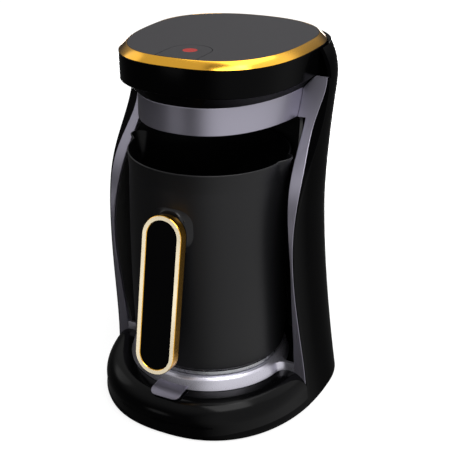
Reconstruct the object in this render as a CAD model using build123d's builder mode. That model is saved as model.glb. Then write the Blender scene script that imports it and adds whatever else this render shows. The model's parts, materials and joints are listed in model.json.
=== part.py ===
"""Electric Turkish coffee maker: a hooded body, a lift-out jug on a heating plate, one start button.

Millimetres, +Z up. The origin is on the table, under the middle of the machine's bounding box.
The front is at -Y, and the machine is symmetrical about the YZ plane.
"""
import os
from math import copysign, cos, pi, radians, sin, sqrt, tan

from build123d import *

# ---------------------------------------------------------------- overall sizes
height = 250.0              # table to the top plate
jug_y = -8.5                # jug axis, on the YZ plane
jug_belly_radius = 53.8
far = 300.0                 # longer than the machine, for cuts that run right through
above = 1.0                 # how far a cut starts outside what it cuts
fit_gap = 0.3               # gap between separate mouldings
seat_gap = 0.12             # between curved faces that sit on one another

# ---------------------------------------------------------------- head, from the top down
head_half_width = 60.9
head_front_y = -58.1
head_rear_y = 81.7
head_widest_y = 28.3
head_front_power = 2.7      # squareness of the front half of the outline
head_rear_power = 2.2
rim_height = 4.4            # height of the gold bevel
rim_bevel = 4.5             # width of the gold bevel
rim_flat = 0.6              # flat land between the bevel and the top plate
rim_ledge = 3.0             # ledge under the top plate
top_plate_thickness = 2.0
head_depth = 22.0           # top plate to the foot of the head's upright wall
head_taper_height = 7.6     # from there down to the neck
head_wall = 2.2
floor_opening_width = 44.0  # opening of the head down to the neck
floor_opening_length = 66.0

# ---------------------------------------------------------------- neck
neck_height = 17.4
neck_side_inset = 6.4       # the neck is this much smaller than the head
neck_front_inset = 5.1
neck_rear_inset = 4.7
neck_widest_shift = 9.7     # widest line, behind that of the head
neck_power = 2.3
neck_wall = 2.2
neck_cover_gap = 0.9        # round the cover inside the neck

# ---------------------------------------------------------------- heating plate and what is under it
plate_inset = 4.4           # the plate is this much smaller than the jug's belly
plate_thickness = 2.2
gasket_thickness = 1.6
gasket_width = 4.5
collar_width = 5.5          # collar of the base shell that carries the gasket
element_radius = 32.0
element_tube_radius = 3.4
element_gap_angle = 40.0    # open part of the heating ring
terminal_angle = 4.0        # each terminal stands this far in from the ring's end
terminal_radius = 1.6
terminal_length = 17.0
shield_thickness = 0.8
shield_depth = 6.0
shield_inset = 2.4          # the shield's flange is this much smaller than the plate
shield_flange = 8.0
shield_slope = 1.0
sensor_radius = 6.0
fuse_radius = 2.5
fuse_length = 12.0
fuse_x = 17.0

# ---------------------------------------------------------------- jug
jug_gap = 0.3               # jug base above the heating plate, at rest
jug_base_inset = 2.8        # the steel base is this much smaller than the belly
jug_base_thickness = 3.0
jug_corner = 4.0
jug_wall = 1.2
jug_bulge_radius = 1600.0   # radius of the barrel-shaped side, seen from the front
jug_rim_flare = 1.0
pour_room = 22.0            # jug rim to the neck
jug_throat_drop = 13.0      # start of the flare, below the rim
jug_belly_drop = 76.0       # belly, below the rim
spout_radius = 9.0
spout_foot_radius = 1.0
spout_lean = 1.0            # the foot of the spout stands this much further in
spout_reach = 5.8           # spout tip beyond the belly
spout_depth = 30.0
spout_rise = 2.6            # spout lips above the rim
spout_room = 6.8            # spout tip to the cavity wall

# ---------------------------------------------------------------- jug handle
saddle_room = 3.3           # back of the handle to the jug, at the middle of the saddle
handle_width = 27.4
handle_lean = 10.0          # degrees, the lower end stands out
handle_lift = 15.9          # lowest point of the gold ring, above the foot of the jug
handle_top_drop = 24.6      # top of the gold ring, below the rim of the jug
handle_ring_width = 3.2
handle_ring_depth = 6.7
handle_back_thickness = 2.6
handle_back_round = 1.8
handle_inlay_thickness = 1.0
handle_inlay_sink = 0.4
saddle_drop = 41.0          # middle of the block that joins handle and jug, below the rim
saddle_height = 28.0
saddle_width = 22.0
saddle_jug_width = 33.0
saddle_reach = 6.0          # how far its sides run on into the jug's curve
bracket_thickness = 1.5
bracket_height = 22.0
bracket_width = 20.0
handle_screw_radius = 1.5
handle_screw_head_radius = 2.8
handle_screw_head_height = 1.6
handle_screw_spacing = 13.0
handle_screw_tip = 1.35     # screw tips to the jug's wall, at the middle of the saddle

# ---------------------------------------------------------------- cavity, shell, frame and base
cavity_narrowing = 7.8      # the cavity is this much narrower under the neck
cavity_bend_rise = 72.0     # where it starts to narrow, above the deck
cavity_ease_end = 8.0       # where it stops, below the neck
cavity_wall_thickness = 1.8
shell_wall = 2.4
frame_depth = 3.0           # depth of the side strips, front to back
foot_height = 1.5           # rubber feet below the base
foot_radius = 8.0
foot_stud_radius = 2.5
deck_z = 28.0               # top of the base shell
deck_thickness = 2.5
base_wall = 2.5
base_draft = 1.8            # the base is this much narrower at the table
base_shoulder = 12.0        # width of the rounded shoulder round the deck
base_shoulder_z = 15.0      # where the shoulder starts to turn in
base_inset = 6.6            # inside face of the base shell, in from the outline
base_shelf = 15.9           # base ring to the front of the base
ring_gap = 0.6              # round the heating plate
ring_top_width = 2.6        # flat top of the base ring
ring_shoulder_width = 4.4   # the same, at its shoulder
ring_width = 6.5            # the same, at the deck
ring_shoulder_height = 7.0
ring_height = 8.8
web_height = 6.0            # web between the base ring and the side strips
web_fillet = 7.0
tongue_width = 26.0         # front tongue of the frame, under the jug handle
tongue_bottom = 24.5
tongue_thickness = 1.4
tongue_corner = 4.0
tongue_root = 2.0           # the tongue starts this far inside the base ring
tail_width = 8.3            # tails of the frame beside the base, at the table
tail_top_width = 15.8       # the same, under the deck

# ---------------------------------------------------------------- start button
button_radius = 13.4        # half width, and the round far end
button_reach = 25.1         # centre of the round far end, behind the front of the head
button_gap = 0.4
button_travel = 1.2
icon_radius = 4.6
icon_flange = 1.0
plunger_radius = 1.8
plunger_x = 9.2
spring_radius = 2.7
spring_wire_radius = 0.35
spring_turns = 4
spring_pin = 4.0

# ---------------------------------------------------------------- boards
board_thickness = 1.6
board_room = 8.0            # control board above the floor of the head
board_width = 64.0
board_length = 72.0
board_y = -2.0
boss_radius = 3.2
boss_side_inset = 4.8       # bosses, in from the sides of the board
boss_end_inset = 8.0
switch_size = 6.0
switch_height = 3.6
switch_nib = 0.8
led_radius = 1.5
led_height = 3.4
led_round = 1.2
buzzer_radius = 6.0
buzzer_height = 6.0
buzzer_x = 16.0
buzzer_y = 12.4
power_board_width = 56.0
power_board_height = 84.0
power_board_z = 110.0
power_board_standoff = 6.0
post_radius = 3.0
post_side_inset = 6.0       # posts, in from the sides of the board
post_end_inset = 7.0
relay_width = 19.0
relay_height = 15.0
relay_depth = 11.0
relay_x = -11.2
relay_rise = 16.8           # above the middle of the board
relay_corner = 1.0
terminal_block_width = 30.0
terminal_block_height = 10.0
terminal_block_depth = 9.0
terminal_block_drop = 28.0  # below the middle of the board
terminal_count = 3
foam_sensor_height = 7.0
foam_board_size = 15.0
window_radius = 5.0
window_flange = 1.5

# ---------------------------------------------------------------- screws, vents and small parts
screw_radius = 1.2
screw_clearance = 0.05
screw_head_radius = 2.8
screw_head_height = 1.2
screw_length = 10.0
cover_thickness = 2.0
vent_count = 6
vent_pitch = 7.0
vent_length = 44.0
vent_height = 2.6
vent_z = 40.0               # lowest vent
gland_z = 14.0
gland_radius = 5.0
gland_bore = 3.3
gland_flange = 1.6
gland_overhang = 2.0        # the gland stands this far into the machine

# ---------------------------------------------------------------- worked-out heights
rim_bottom = height - rim_height
top_plate_bottom = height - top_plate_thickness
head_wall_bottom = height - head_depth
neck_top = head_wall_bottom - head_taper_height
neck_bottom = neck_top - neck_height
board_z = head_wall_bottom + board_room
board_top = board_z + board_thickness
deck_bottom = deck_z - deck_thickness
base_ring_top = deck_z + ring_height
base_ring_shoulder_z = deck_z + ring_shoulder_height
web_top = deck_z + web_height
plate_bottom = base_ring_top - plate_thickness
gasket_bottom = plate_bottom - gasket_thickness
jug_bottom = base_ring_top + jug_gap
jug_body_bottom = jug_bottom + jug_base_thickness
jug_rim_z = neck_bottom - pour_room
jug_throat_z = jug_rim_z - jug_throat_drop
jug_belly_z = jug_rim_z - jug_belly_drop
saddle_z = jug_rim_z - saddle_drop
handle_bottom_z = jug_bottom + handle_lift
handle_length = (jug_rim_z - handle_top_drop - handle_bottom_z) / cos(radians(handle_lean))
cavity_bend_z = deck_z + cavity_bend_rise

# ---------------------------------------------------------------- worked-out widths
rim_seat = rim_bevel + rim_flat
neck_half_width = head_half_width - neck_side_inset
neck_front_y = head_front_y + neck_front_inset
neck_rear_y = head_rear_y - neck_rear_inset
neck_widest_y = head_widest_y + neck_widest_shift
plate_radius = jug_belly_radius - plate_inset
shield_radius = plate_radius - shield_inset
shield_dish_radius = shield_radius - shield_flange
jug_base_radius = jug_belly_radius - jug_base_inset
spout_tip_radius = jug_belly_radius + spout_reach
handle_core_depth = handle_ring_depth + handle_back_thickness
base_ring_inner_radius = plate_radius + ring_gap
base_ring_top_radius = base_ring_inner_radius + ring_top_width
base_ring_shoulder_radius = base_ring_inner_radius + ring_shoulder_width
base_ring_radius = base_ring_inner_radius + ring_width
web_ring_radius = base_ring_radius + (base_ring_shoulder_radius - base_ring_radius) * (
    web_height / ring_shoulder_height
)
cavity_half_width = spout_tip_radius + spout_room
button_centre_y = head_front_y + button_reach
power_board_y = jug_y + cavity_half_width + cavity_wall_thickness + power_board_standoff
power_post_x = power_board_width / 2 - post_side_inset
power_post_z = power_board_height / 2 - post_end_inset

# ---------------------------------------------------------------- body outline
waist_drop = 58.0           # waist, below the neck
shoulder_drop = 10.0        # shoulder, below the head
shoulder_swell = 10.7       # the shoulder is this much wider than the head
foot_swell = 9.2            # the foot is this much wider than the waist
waist_flare = 1.6           # how fast the foot swells below the waist
shoulder_roll = 2.5         # how late the shoulder rolls in to the head
rear_room = 11.7            # relay to the rear of the foot
waist_rear_inset = 5.5
shoulder_rear_inset = 2.0
foot_widest_y = 24.5        # where the foot is widest
waist_widest_y = 2.0        # where the waist is widest
front_power = 2.34          # squareness of the front half of the outline
rear_power = 2.22           # squareness of the rear half
waist_z = neck_bottom - waist_drop
shoulder_z = head_wall_bottom - shoulder_drop
waist_half_width = cavity_half_width + cavity_wall_thickness + shell_wall
shoulder_half_width = head_half_width + shoulder_swell
foot_half_width = waist_half_width + foot_swell
body_front_y = jug_y - base_ring_radius - base_shelf
foot_rear_y = power_board_y + board_thickness + relay_depth + rear_room
waist_rear_y = foot_rear_y - waist_rear_inset
shoulder_rear_y = foot_rear_y - shoulder_rear_inset
tail_x = foot_half_width - tail_width
tail_top_x = foot_half_width - tail_top_width

# ---------------------------------------------------------------- front edge of the wings, in side view
wing_foot_y = -12.5         # at the deck
wing_start = 10.0           # the curve starts this far below the table
wing_start_shift = 3.0      # and this far behind the foot
wing_belly_drop = 33.0      # foremost point, below the waist
wing_belly_reach = 13.1     # before the foot
wing_waist_rise = 19.0
wing_waist_reach = 5.5
wing_neck_shift = 24.0      # behind the foot, at the neck
wing_head_rise = 5.6
wing_head_shift = 31.5
wing_end_rise = 12.0        # the curve ends this far above the head
wing_end_shift = 34.5
wing_edge = [
    (wing_foot_y + wing_start_shift, -wing_start),
    (wing_foot_y, deck_z),
    (wing_foot_y - wing_belly_reach, waist_z - wing_belly_drop),
    (wing_foot_y - wing_waist_reach, waist_z + wing_waist_rise),
    (wing_foot_y + wing_neck_shift, neck_bottom),
    (wing_foot_y + wing_head_shift, neck_top + wing_head_rise),
    (wing_foot_y + wing_end_shift, height + wing_end_rise),
]

# ---------------------------------------------------------------- screws and feet under the base
front_screw_inset = 21.8
front_screw_shift = 1.5
rear_screw_x = 28.0
rear_screw_inset = 20.0
front_foot_x = 40.0
front_foot_inset = 28.9
rear_foot_x = 52.0
rear_foot_inset = 45.0
base_screws_at = [
    (side * x, y)
    for x, y in (
        (foot_half_width - front_screw_inset, wing_foot_y - front_screw_shift),
        (rear_screw_x, foot_rear_y - rear_screw_inset),
    )
    for side in (-1, 1)
]
feet_at = [
    (side * x, y)
    for x, y in (
        (front_foot_x, body_front_y + front_foot_inset),
        (rear_foot_x, foot_rear_y - rear_foot_inset),
    )
    for side in (-1, 1)
]
jug_axis = Axis((0, jug_y, 0), (0, 0, 1))
jug_plane = Plane(origin=(0, jug_y, 0), x_dir=(1, 0, 0), z_dir=(0, -1, 0))


# ---------------------------------------------------------------- outlines
def egg(half_width, front_y, rear_y, widest_y, front_n, rear_n, inset=0.0, steps=5):
    """Egg outline: superellipse quarters before and behind the widest line, as one closed curve."""
    points = []
    for step in range(4 * steps):
        angle = pi / 2 * (1 + step / steps)
        front = sin(angle) < 0
        power = front_n if front else rear_n
        reach = (widest_y - front_y if front else rear_y - widest_y) - inset
        x = (half_width - inset) * abs(cos(angle)) ** (2 / power)
        y = reach * abs(sin(angle)) ** (2 / power)
        points.append((copysign(x, cos(angle)), widest_y + copysign(y, sin(angle))))
    with BuildSketch() as outline:
        with BuildLine():
            Spline(*points, periodic=True)
        make_face()
    return outline.sketch


def waisted(z, foot, waist, shoulder, top):
    """A body size at height z: it swells to the foot and the shoulder and rolls in to the top."""
    if z < waist_z:
        return waist + (foot - waist) * ((waist_z - z) / waist_z) ** waist_flare
    if z < shoulder_z:
        return waist + (shoulder - waist) * ((z - waist_z) / (shoulder_z - waist_z)) ** 2
    roll = (z - shoulder_z) / (rim_bottom - shoulder_z)
    return shoulder - (shoulder - top) * roll ** shoulder_roll


def body_outline(z, inset=0.0, front_y=body_front_y):
    """Plan of the body at height z."""
    lip = shell_wall + fit_gap
    width = waisted(z, foot_half_width, waist_half_width, shoulder_half_width, head_half_width + lip)
    rear = waisted(z, foot_rear_y, waist_rear_y, shoulder_rear_y, head_rear_y + lip)
    if z < waist_z:
        widest = waisted(z, foot_widest_y, waist_widest_y, 0, 0)
    else:
        rise = (z - waist_z) / (rim_bottom - waist_z)
        widest = waist_widest_y + (head_widest_y - waist_widest_y) * rise ** 1.5
    return egg(width, front_y, rear, widest, front_power, rear_power, inset)


def head_outline(inset=0.0):
    """Plan of the head."""
    return egg(
        head_half_width, head_front_y, head_rear_y, head_widest_y, head_front_power, head_rear_power, inset
    )


def neck_outline(inset=0.0):
    """Plan of the neck."""
    return egg(
        neck_half_width, neck_front_y, neck_rear_y, neck_widest_y, neck_power, neck_power, inset, steps=7
    )


def cavity_half(z):
    """Half width of the cavity: constant round the jug, easing in towards the neck."""
    ease_height = neck_bottom - cavity_ease_end - cavity_bend_z
    ease = min(max((z - cavity_bend_z) / ease_height, 0), 1)
    return cavity_half_width - cavity_narrowing * (1 - cos(pi * ease)) / 2


def cavity_outline(z, grow=0.0):
    """Plan of the cavity: a half circle round the jug axis, open at the front."""
    half = cavity_half(z) + grow
    with BuildSketch() as outline:
        with BuildLine():
            Polyline((half, jug_y), (half, -far / 2), (-half, -far / 2), (-half, jug_y))
            ThreePointArc((-half, jug_y), (0, jug_y + half), (half, jug_y))
        make_face()
    return outline.sketch


def wing_side(offset, side):
    """Side view of everything before (side -1) or behind (side 1) the wing edge, moved back."""
    edge = [(y + offset, z) for y, z in wing_edge]
    with BuildSketch() as outline:
        with BuildLine():
            Spline(*edge)
            Polyline(edge[-1], (side * far, edge[-1][1]), (side * far, edge[0][1]), edge[0])
        make_face()
    return outline.sketch


# ---------------------------------------------------------------- shared solids, used as tools
roll_height = rim_bottom - shoulder_z
body_levels = (
    [foot_height - 3, base_shoulder_z + 1]
    + [waist_z * share for share in (0.25, 0.5, 0.75, 1)]
    + [(waist_z + shoulder_z) / 2]
    + [shoulder_z + roll_height * share for share in (0, 0.43, 0.76, 1)]
)
ease_end_z = neck_bottom - cavity_ease_end
cavity_levels = (
    [deck_z + cavity_bend_rise * share for share in (0, 0.375, 0.75, 1)]
    + [cavity_bend_z + (ease_end_z - cavity_bend_z) * share for share in (0.125, 0.25, 0.5, 0.75, 1)]
    + [neck_bottom]
)

with BuildPart() as body_form:
    for level in body_levels:
        with BuildSketch(Plane.XY.offset(level)):
            add(body_outline(level))
    loft()

with BuildPart() as body_hollow:
    for level in body_levels[:-1] + [rim_bottom + seat_gap / 10]:
        with BuildSketch(Plane.XY.offset(level)):
            add(body_outline(level, shell_wall))
    loft()

with BuildPart() as body_room:
    for level in body_levels:
        with BuildSketch(Plane.XY.offset(level)):
            add(body_outline(level, shell_wall + fit_gap))
    loft()

with BuildPart() as cavity_form:
    for level in cavity_levels:
        with BuildSketch(Plane.XY.offset(level)):
            add(cavity_outline(level))
    loft()

with BuildPart() as head_taper:
    with BuildSketch(Plane.XY.offset(neck_top)):
        add(neck_outline())
    with BuildSketch(Plane.XY.offset(head_wall_bottom)):
        add(head_outline())
    loft(ruled=True)

with BuildPart() as before_wings:
    with BuildSketch(Plane.YZ):
        add(wing_side(0, -1))
    extrude(amount=far, both=True)

with BuildPart() as behind_frame:
    with BuildSketch(Plane.YZ):
        add(wing_side(frame_depth, 1))
    extrude(amount=far, both=True)


def base_front():
    """Front of the base: it leans out to the shoulder, which rolls in to the deck."""
    leans = [0.0, 0.5, 1.0]
    turns = [0.3, 0.55, 0.75, 0.9, 0.98, 1.0]
    with BuildPart() as front:
        for lean in leans:
            z = foot_height + lean * (base_shoulder_z - foot_height)
            with BuildSketch(Plane.XY.offset(z)):
                add(body_outline(z, 0, body_front_y - base_draft * lean))
        for turn in turns:
            z = base_shoulder_z + (deck_z - base_shoulder_z) * turn
            roll = base_shoulder * (1 - sqrt(1 - turn ** 2))
            with BuildSketch(Plane.XY.offset(z)):
                add(body_outline(z, roll, body_front_y - base_draft))
        loft()
    return front.part


front_form = base_front()
parts = []


def keep(node, name):
    """Label a finished piece and list it for writing."""
    node.part.label = name
    parts.append(node.part)


# ---------------------------------------------------------------- base
with BuildPart() as rear_tray:
    add(body_room.part)
    with BuildSketch(Plane.XY.offset(deck_z)):
        Rectangle(far, far)
    extrude(amount=far, mode=Mode.SUBTRACT)
    with BuildSketch(Plane.XY.offset(foot_height)):
        Rectangle(far, far)
    extrude(amount=-far, mode=Mode.SUBTRACT)
    with BuildSketch(Plane.YZ):
        add(wing_side(frame_depth + fit_gap, 1))
    extrude(amount=far, both=True, mode=Mode.INTERSECT)

with BuildPart() as base_shell:
    add(front_form)
    # room for the tails of the frame, behind the wing edge at each side
    with BuildSketch(Plane.YZ):
        add(wing_side(0, 1))
    extrude(amount=far, both=True, mode=Mode.SUBTRACT)
    with BuildSketch(Plane.XY.offset(foot_height + base_wall)):
        with Locations((0, wing_foot_y)):
            Rectangle(2 * tail_top_x - fit_gap, 4 * frame_depth)
    extrude(amount=deck_z - foot_height - base_wall, clean=False)
    add(rear_tray.part, clean=False)
    # hollow under the deck
    with BuildSketch(Plane.XY.offset(-1)):
        add(body_outline(foot_height, base_inset))
    extrude(amount=base_shoulder_z + 1, mode=Mode.SUBTRACT, clean=False)
    with BuildSketch(Plane.XY.offset(-1)):
        add(body_outline(base_shoulder_z, base_inset + base_shoulder / 2))
    extrude(amount=deck_bottom + 1, mode=Mode.SUBTRACT, clean=False)
    # collar for the heating plate, with the opening through it
    with BuildSketch(Plane.XY.offset(deck_bottom + 1)):
        with Locations((0, jug_y)):
            Circle(plate_radius)
    extrude(amount=gasket_bottom - deck_bottom - 1, clean=False)
    with BuildSketch(Plane.XY.offset(deck_bottom - 1)):
        with Locations((0, jug_y)):
            Circle(plate_radius - collar_width)
    extrude(amount=gasket_bottom - deck_bottom + 2, mode=Mode.SUBTRACT, clean=False)
    # screw bosses for the bottom cover
    with BuildSketch(Plane.XY.offset(foot_height + cover_thickness)):
        with Locations(*base_screws_at):
            Circle(boss_radius)
            Circle(screw_radius + screw_clearance, mode=Mode.SUBTRACT)
    extrude(amount=deck_z - foot_height - cover_thickness - above, clean=False)
    # the cord's way through the rear wall
    with BuildSketch(Plane.XZ.offset(-waist_rear_y / 2)):
        with Locations((0, gland_z)):
            Circle(gland_radius + fit_gap)
    extrude(amount=-far, mode=Mode.SUBTRACT, clean=False)
keep(base_shell, "base_shell")

with BuildPart() as bottom_cover:
    with BuildSketch(Plane.XY.offset(foot_height)):
        add(body_outline(foot_height, base_inset + fit_gap))
        with Locations(*base_screws_at):
            Circle(screw_radius + 4 * screw_clearance, mode=Mode.SUBTRACT)
        with Locations(*feet_at):
            Circle(foot_stud_radius + screw_clearance, mode=Mode.SUBTRACT)
    extrude(amount=cover_thickness)
    with BuildSketch(Plane.XY.offset(foot_height)):
        with Locations(*base_screws_at):
            Circle(screw_head_radius + 4 * screw_clearance)
    extrude(amount=screw_head_height, mode=Mode.SUBTRACT)
keep(bottom_cover, "bottom_cover")

with BuildPart() as base_screws:
    with BuildSketch(Plane.XY.offset(foot_height)):
        with Locations(*base_screws_at):
            Circle(screw_head_radius)
    extrude(amount=screw_head_height)
    with BuildSketch(Plane.XY.offset(foot_height + screw_head_height)):
        with Locations(*base_screws_at):
            Circle(screw_radius)
    extrude(amount=screw_length)
keep(base_screws, "base_screws")

with BuildPart() as rubber_feet:
    with BuildSketch():
        with Locations(*feet_at):
            Circle(foot_radius)
    extrude(amount=foot_height)
    with BuildSketch(Plane.XY.offset(foot_height)):
        with Locations(*feet_at):
            Circle(foot_stud_radius)
    extrude(amount=cover_thickness)
keep(rubber_feet, "rubber_feet")

# ---------------------------------------------------------------- heating plate and its parts
with BuildPart() as plate_gasket:
    with BuildSketch(Plane.XY.offset(gasket_bottom)):
        with Locations((0, jug_y)):
            Circle(plate_radius)
            Circle(plate_radius - gasket_width, mode=Mode.SUBTRACT)
    extrude(amount=gasket_thickness)
keep(plate_gasket, "plate_gasket")

with BuildPart() as heating_plate:
    with BuildSketch(Plane.XY.offset(plate_bottom)):
        with Locations((0, jug_y)):
            Circle(plate_radius)
    extrude(amount=plate_thickness)
    chamfer(heating_plate.edges().group_by(Axis.Z)[-1], plate_thickness / 4)
keep(heating_plate, "heating_plate")

# The heating ring is open at the back, where a terminal hangs from each end.
element_z = plate_bottom - element_tube_radius
gap_half = element_gap_angle / 2
with BuildPart() as heating_element:
    with BuildSketch(jug_plane):
        with Locations((element_radius, element_z)):
            Circle(element_tube_radius)
    revolve(axis=jug_axis, revolution_arc=360 - element_gap_angle)
element_ring = heating_element.part.rotate(jug_axis, 90 + gap_half)
terminal_turn = radians(gap_half + terminal_angle)
terminals_at = [
    (side * element_radius * sin(terminal_turn), jug_y + element_radius * cos(terminal_turn))
    for side in (-1, 1)
]
with BuildPart() as heating_element:
    add(element_ring)
    with BuildSketch(Plane.XY.offset(element_z)):
        with Locations(*terminals_at):
            Circle(terminal_radius)
    extrude(amount=-terminal_length)
keep(heating_element, "heating_element")

# The shield hangs from the deck by its flange and keeps the heat off the bottom cover.
shield_floor = deck_bottom - shield_depth
with BuildPart() as heat_shield:
    with BuildSketch(jug_plane):
        with BuildLine():
            Polyline(
                (0, shield_floor),
                (shield_dish_radius, shield_floor),
                (shield_dish_radius + shield_slope, deck_bottom - shield_thickness),
                (shield_radius, deck_bottom - shield_thickness),
                (shield_radius, deck_bottom),
                (shield_dish_radius, deck_bottom),
                (shield_dish_radius - shield_slope, shield_floor + shield_thickness),
                (0, shield_floor + shield_thickness),
                close=True,
            )
        make_face()
    revolve(axis=jug_axis)
    with BuildSketch(Plane.XY.offset(shield_floor - 1)):
        with Locations(*terminals_at):
            Circle(2 * terminal_radius)
    extrude(amount=shield_thickness + 2, mode=Mode.SUBTRACT)
keep(heat_shield, "heat_shield")

with BuildPart() as temperature_sensor:
    with BuildSketch(Plane.XY.offset(shield_floor + shield_thickness)):
        with Locations((0, jug_y)):
            Circle(sensor_radius)
    extrude(amount=plate_bottom - shield_floor - shield_thickness)
    fillet(temperature_sensor.edges().group_by(Axis.Z)[-1], sensor_radius / 6)
keep(temperature_sensor, "temperature_sensor")

with BuildPart() as thermal_fuse:
    with BuildSketch(Plane.XZ.offset(-jug_y - fuse_length / 2)):
        with Locations((fuse_x, plate_bottom - fuse_radius)):
            Circle(fuse_radius)
    extrude(amount=fuse_length)
keep(thermal_fuse, "thermal_fuse")

# ---------------------------------------------------------------- frame, rear shell and cavity
# The tongue lies over the shoulder of the base, from the base ring to just below the deck.
shoulder_centre_y = body_front_y - base_draft + base_shoulder
tongue_curve = [
    (
        shoulder_centre_y - (base_shoulder + tongue_thickness) * cos(radians(angle)),
        base_shoulder_z + (deck_z - base_shoulder_z + tongue_thickness) * sin(radians(angle)),
    )
    for angle in (90, 70, 50, 30, 0)
]
with BuildPart() as tongue:
    with BuildSketch(Plane.YZ):
        with BuildLine():
            Polyline(
                (shoulder_centre_y, base_shoulder_z),
                (jug_y - base_ring_radius + tongue_root, base_shoulder_z),
                (jug_y - base_ring_radius + tongue_root, deck_z + tongue_thickness),
                tongue_curve[0],
            )
            Spline(*tongue_curve)
            Line(tongue_curve[-1], (shoulder_centre_y, base_shoulder_z))
        make_face()
    extrude(amount=tongue_width / 2, both=True)
    with BuildSketch(Plane.XZ.offset(-jug_y)):
        with Locations((0, tongue_bottom + deck_z / 2)):
            RectangleRounded(tongue_width, deck_z, tongue_corner)
    extrude(amount=far, mode=Mode.INTERSECT)
    add(front_form.moved(Location((0, -seat_gap, seat_gap))), mode=Mode.SUBTRACT, clean=False)

# Web from the side strips to the base ring, the ring and the tongue.
with BuildPart() as base_ring:
    for level, radius in ((deck_z, base_ring_radius), (web_top, web_ring_radius)):
        with BuildSketch(Plane.XY.offset(level)):
            with Locations((0, jug_y)):
                Circle(radius)
            with Locations((0, wing_foot_y + frame_depth / 2 - fit_gap)):
                Rectangle(2 * (cavity_half_width + 2 * cavity_wall_thickness), frame_depth - 2 * fit_gap)
            corners = [v for v in vertices() if abs(v.X) < base_ring_radius + 1]
            fillet(corners, web_fillet)
    loft(ruled=True)
    with BuildSketch(jug_plane):
        with BuildLine():
            Polyline(
                (base_ring_inner_radius, deck_z),
                (base_ring_radius - 1, deck_z),
                (base_ring_shoulder_radius, base_ring_shoulder_z),
                (base_ring_top_radius, base_ring_top),
                (base_ring_inner_radius, base_ring_top),
                close=True,
            )
        make_face()
    revolve(axis=jug_axis)
    with BuildSketch(Plane.XY.offset(deck_z - 1)):
        with Locations((0, jug_y)):
            Circle(base_ring_inner_radius)
    extrude(amount=base_ring_top - deck_z + 2, mode=Mode.SUBTRACT)
    add(tongue.part)

with BuildPart() as trim_frame:
    add(body_form.part)
    add(before_wings.part, mode=Mode.SUBTRACT, clean=False)
    add(behind_frame.part, mode=Mode.SUBTRACT, clean=False)
    with BuildSketch(Plane.XY.offset(head_wall_bottom)):
        Rectangle(far, far)
    extrude(amount=far, mode=Mode.SUBTRACT, clean=False)
    with BuildSketch(Plane.XY.offset(foot_height)):
        Rectangle(far, far)
    extrude(amount=-far, mode=Mode.SUBTRACT, clean=False)
    # the cavity, and the base between the two tails
    add(cavity_form.part, mode=Mode.SUBTRACT, clean=False)
    with BuildSketch():
        Rectangle(2 * tail_top_x, far)
    extrude(amount=deck_z, mode=Mode.SUBTRACT, clean=False)
    with BuildSketch():
        Rectangle(2 * tail_x, far)
    extrude(amount=base_shoulder_z, mode=Mode.SUBTRACT, clean=False)
    # the head and the neck
    add(head_taper.part, mode=Mode.SUBTRACT, clean=False)
    with BuildSketch(Plane.XY.offset(neck_bottom - 1)):
        add(neck_outline(neck_wall / 2))
    extrude(amount=far, mode=Mode.SUBTRACT, clean=False)
    with BuildSketch(Plane.XY.offset(neck_bottom)):
        add(neck_outline())
        add(neck_outline(neck_wall), mode=Mode.SUBTRACT)
    extrude(amount=neck_top - neck_bottom, clean=False)
    add(base_ring.part, clean=False)
keep(trim_frame, "trim_frame")

with BuildPart() as rear_shell:
    add(body_form.part)
    add(body_hollow.part, mode=Mode.SUBTRACT, clean=False)
    with BuildSketch(Plane.YZ):
        add(wing_side(frame_depth, -1))
    extrude(amount=far, both=True, mode=Mode.SUBTRACT, clean=False)
    with BuildSketch(Plane.XY.offset(foot_height)):
        Rectangle(far, far)
    extrude(amount=-far, mode=Mode.SUBTRACT, clean=False)
    # cooling slots and the cord's way in, at the back
    with BuildSketch(Plane.XZ.offset(-waist_rear_y / 2)):
        with Locations((0, vent_z + vent_pitch * (vent_count - 1) / 2)):
            with GridLocations(0, vent_pitch, 1, vent_count):
                SlotOverall(vent_length, vent_height)
        with Locations((0, gland_z)):
            Circle(gland_radius)
    extrude(amount=-far, mode=Mode.SUBTRACT, clean=False)
keep(rear_shell, "rear_shell")

with BuildPart() as cord_gland:
    gland_front = foot_rear_y - shell_wall - gland_flange - gland_overhang
    with BuildSketch(Plane.XZ.offset(-gland_front)):
        with Locations((0, gland_z)):
            Circle(gland_radius - fit_gap / 3)
            Circle(gland_bore, mode=Mode.SUBTRACT)
    extrude(amount=gland_front - foot_rear_y)
keep(cord_gland, "cord_gland")

with BuildPart() as cavity_wall:
    for level in cavity_levels:
        with BuildSketch(Plane.XY.offset(level)):
            add(cavity_outline(level, cavity_wall_thickness))
    loft()
    add(cavity_form.part, mode=Mode.SUBTRACT, clean=False)
    add(body_room.part, mode=Mode.INTERSECT, clean=False)
    # ceiling round the neck
    with BuildSketch(Plane.XY.offset(neck_bottom)):
        add(cavity_outline(neck_bottom, cavity_wall_thickness))
        add(neck_outline(-fit_gap), mode=Mode.SUBTRACT)
    extrude(amount=cavity_wall_thickness, clean=False)
    with BuildSketch(Plane.YZ):
        add(wing_side(frame_depth + fit_gap, -1))
    extrude(amount=far, both=True, mode=Mode.SUBTRACT, clean=False)
    # posts for the power board
    for x in (-power_post_x, power_post_x):
        for z in (power_board_z - power_post_z, power_board_z + power_post_z):
            wall_y = jug_y + sqrt((cavity_half(z) + cavity_wall_thickness / 2) ** 2 - x ** 2)
            with BuildSketch(Plane(origin=(x, wall_y, z), x_dir=(1, 0, 0), z_dir=(0, 1, 0))):
                Circle(post_radius)
            extrude(amount=power_board_y - wall_y, clean=False)
keep(cavity_wall, "cavity_wall")

with BuildPart() as power_board:
    with BuildSketch(Plane.XZ.offset(-power_board_y)):
        with Locations((0, power_board_z)):
            Rectangle(power_board_width, power_board_height)
    extrude(amount=-board_thickness)
keep(power_board, "power_board")

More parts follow.
